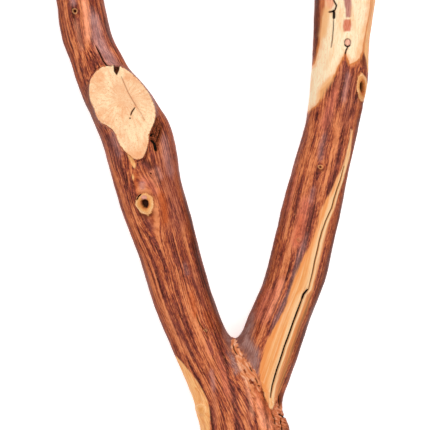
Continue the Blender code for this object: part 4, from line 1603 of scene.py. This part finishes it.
def paint_ends(n, wood):
    """The limbs' sawn ends, with growth rings round the pith, a dark heart and drying checks."""
    spoke = n.vector("spoke")
    pith = n.math("MULTIPLY_ADD", n.mottle, 5.0, n.value("pith"))
    broad = n.noise(n.joined(n.times(pith, 0.30)), 1.0, 2.0, 0.6)
    rings = n.math("SINE", n.math("MULTIPLY_ADD", broad, 9.0, n.times(pith, 1.9)))
    tone = n.over(END_RED, END_HEART, broad, 0.36, 0.62)
    tone = n.over(tone, END_PALE, pith, 19.5, 22.5)
    tone = n.over(tone, n.shaded(tone, RING_SHADE), rings, -0.3, 0.9, 0.55)
    tone = n.over(tone, ORANGE, n.noise(spoke, 8.0, 3.0, 0.65), 0.46, 0.66, 0.5)
    tone = n.over(tone, RIM_ORANGE, n.noise(n.place, 1.3, 3.0, 0.7), 0.44, 0.66, 0.45)
    # Drying checks drawn as dark lines: painted shade in the splits
    split = n.math("ABSOLUTE", n.math("ADD", n.noise(spoke, 1.7, 2.0, 0.5), -0.5))
    narrow = n.times(n.step(n.value("pith"), 19.0, 2.0), 0.028)
    tone = n.over(tone, CRACK_BROWN, n.math("SUBTRACT", split, narrow), 0.004, -0.004)
    return n.over(wood, tone, n.value("ends"), -0.9, -0.45)


def paint_openings(n, wood):
    """Painted shade: the dark insides of the knots' holes, the notch and the cracks."""
    wood = n.over(wood, PIT_BROWN, n.value("hole"), 0.14, -0.2)
    notch_wood = n.over(PIT_BROWN, HOLLOW_BROWN, n.speck, 0.42, 0.60)
    wood = n.over(wood, notch_wood, n.value("notch"), 0.45, -0.25)
    wood = n.over(wood, CRACK_BROWN, n.value("crack"), 0.8, 0.1, 0.5)
    return n.over(wood, CRACK_BLACK, n.value("crack"), 0.12, -0.12)


def oiled_wood():
    """Oiled heartwood with pale sapwood patches, knots, sawn faces and cracks."""
    n = WoodNodes()
    wood, share = paint_heartwood(n)
    wood = paint_patches(n, wood)
    burl, ridge = n.value("burl"), n.value("ridge")
    _, y, z = n.parts(n.place)
    scales = n.noise(n.joined(n.value("lobe"), y, z), (0.60, 0.085, 0.3), 4.0, 0.65)
    # Burl and ridge: dark in their folds and pale on their tops, painted shade and highlight
    wood = n.over(wood, n.ramp(scales, BURL_COLOURS), burl, 0.12, 0.75, 0.85)
    wood = n.over(wood, n.ramp(scales, RIDGE_COLOURS), ridge, 0.2, 0.8, 0.9)
    wood = paint_knots(n, wood)
    # The plug in the left knot's pit: lighter rose, its own colour with a painted highlight on its bump
    wood = n.over(wood, PLUG_ROSE, n.value("plug"), 0.4, -0.3)
    wood = paint_face(n, wood)
    wood = paint_ends(n, wood)
    n.finish("Base Color", paint_openings(n, wood))

    raw = n.math("MAXIMUM", burl, ridge)
    sawn = n.math("MAXIMUM", n.step(n.value("face"), 0.5, 0.0), n.step(n.value("ends"), -0.9, -0.45))
    gloss = n.math("MULTIPLY_ADD", sawn, 0.22, n.math("MULTIPLY_ADD", n.fibre, 0.16, 0.26))
    n.finish("Roughness", n.math("MULTIPLY_ADD", raw, 0.15, gloss))
    n.shader.inputs["Specular IOR Level"].default_value = OIL_SPECULAR

    pores = n.noise(n.grain, (3.0, 0.30, 3.0), 2.0, 0.7)
    height = n.math("MULTIPLY_ADD", pores, 0.5, n.times(share, 0.3))
    height = n.math("MULTIPLY_ADD", n.times(scales, raw), 1.6, height)
    inputs = {"Strength": BUMP_STRENGTH, "Distance": BUMP_DISTANCE, "Height": height}
    bump = n.add("ShaderNodeBump", inputs)
    n.finish("Normal", bump.outputs[0])
    return n.material


def pale_floor():
    """A wide plain floor under the branch."""
    mesh = bpy.data.meshes.new("floor")
    corners = [(FLOOR_REACH * x, FLOOR_REACH * y, 0.0) for x, y in ((-1, -1), (1, -1), (1, 1), (-1, 1))]
    mesh.from_pydata(corners, [], [(0, 1, 2, 3)])
    material = bpy.data.materials.new("pale_floor")
    material.use_nodes = True
    inputs = material.node_tree.nodes["Principled BSDF"].inputs
    inputs["Base Color"].default_value = (0.97, 0.97, 0.97, 1.0)
    inputs["Roughness"].default_value = 0.9
    inputs["Specular IOR Level"].default_value = 0.1
    inputs["Emission Color"].default_value = (1.0, 1.0, 1.0, 1.0)
    inputs["Emission Strength"].default_value = FLOOR_GLOW
    mesh.materials.append(material)
    placed("floor", mesh)


def soft_sun(name, toward, strength, spread):
    """A sun as wide as a studio softbox, shining from the direction given."""
    lamp = bpy.data.lights.new(name, "SUN")
    lamp.energy = strength
    lamp.angle = math.radians(spread)
    placed(name, lamp).rotation_euler = Vector(toward).to_track_quat("Z", "Y").to_euler()


def studio():
    """A pale studio, bright overhead and dimmer at the sides, with two soft suns."""
    scene = bpy.context.scene
    scene.view_settings.view_transform = "Standard"
    scene.view_settings.look = "None"
    scene.world = bpy.data.worlds.new("studio")
    scene.world.use_nodes = True
    tree = scene.world.node_tree
    background = tree.nodes["Background"]
    direction = tree.nodes.new("ShaderNodeTexCoord")
    split = tree.nodes.new("ShaderNodeSeparateXYZ")
    ramp = tree.nodes.new("ShaderNodeValToRGB")
    set_ramp(ramp, [(place, (grey, grey, grey)) for place, grey in SKY_STOPS])
    tree.links.new(direction.outputs["Generated"], split.inputs[0])
    tree.links.new(split.outputs[2], ramp.inputs[0])
    tree.links.new(ramp.outputs[0], background.inputs["Color"])
    background.inputs["Strength"].default_value = SKY_STRENGTH
    for name, toward, strength, spread in SUNS:
        soft_sun(name, toward, strength, spread)


def photo_camera():
    """Straight above the branch, framed as the photograph is."""
    camera = bpy.data.cameras.new("camera")
    camera.sensor_width = SENSOR
    camera.lens = SENSOR * (CAMERA_HEIGHT - WIDEST_HEIGHT) / (PHOTO_SIDE * PIXEL)
    camera.clip_end = 200.0
    middle = PHOTO_SIDE / 2.0
    x, y = (middle - MIDDLE_PX[0]) * PIXEL, (MIDDLE_PX[1] - middle) * PIXEL
    holder = placed("camera", camera)
    holder.location = Vector((x, y, CAMERA_HEIGHT)) * MM
    bpy.context.scene.camera = holder


def build():
    pale_floor()
    studio()
    photo_camera()
    whole = whole_mesh()
    wood = oiled_wood()
    for name, node, cuts in PIECES:
        piece = branch_piece(name, whole, cuts)
        piece.data.materials.append(wood)
        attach(piece, "root")
        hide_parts(node)
    bpy.data.meshes.remove(whole)
    bpy.context.view_layer.update()


build()
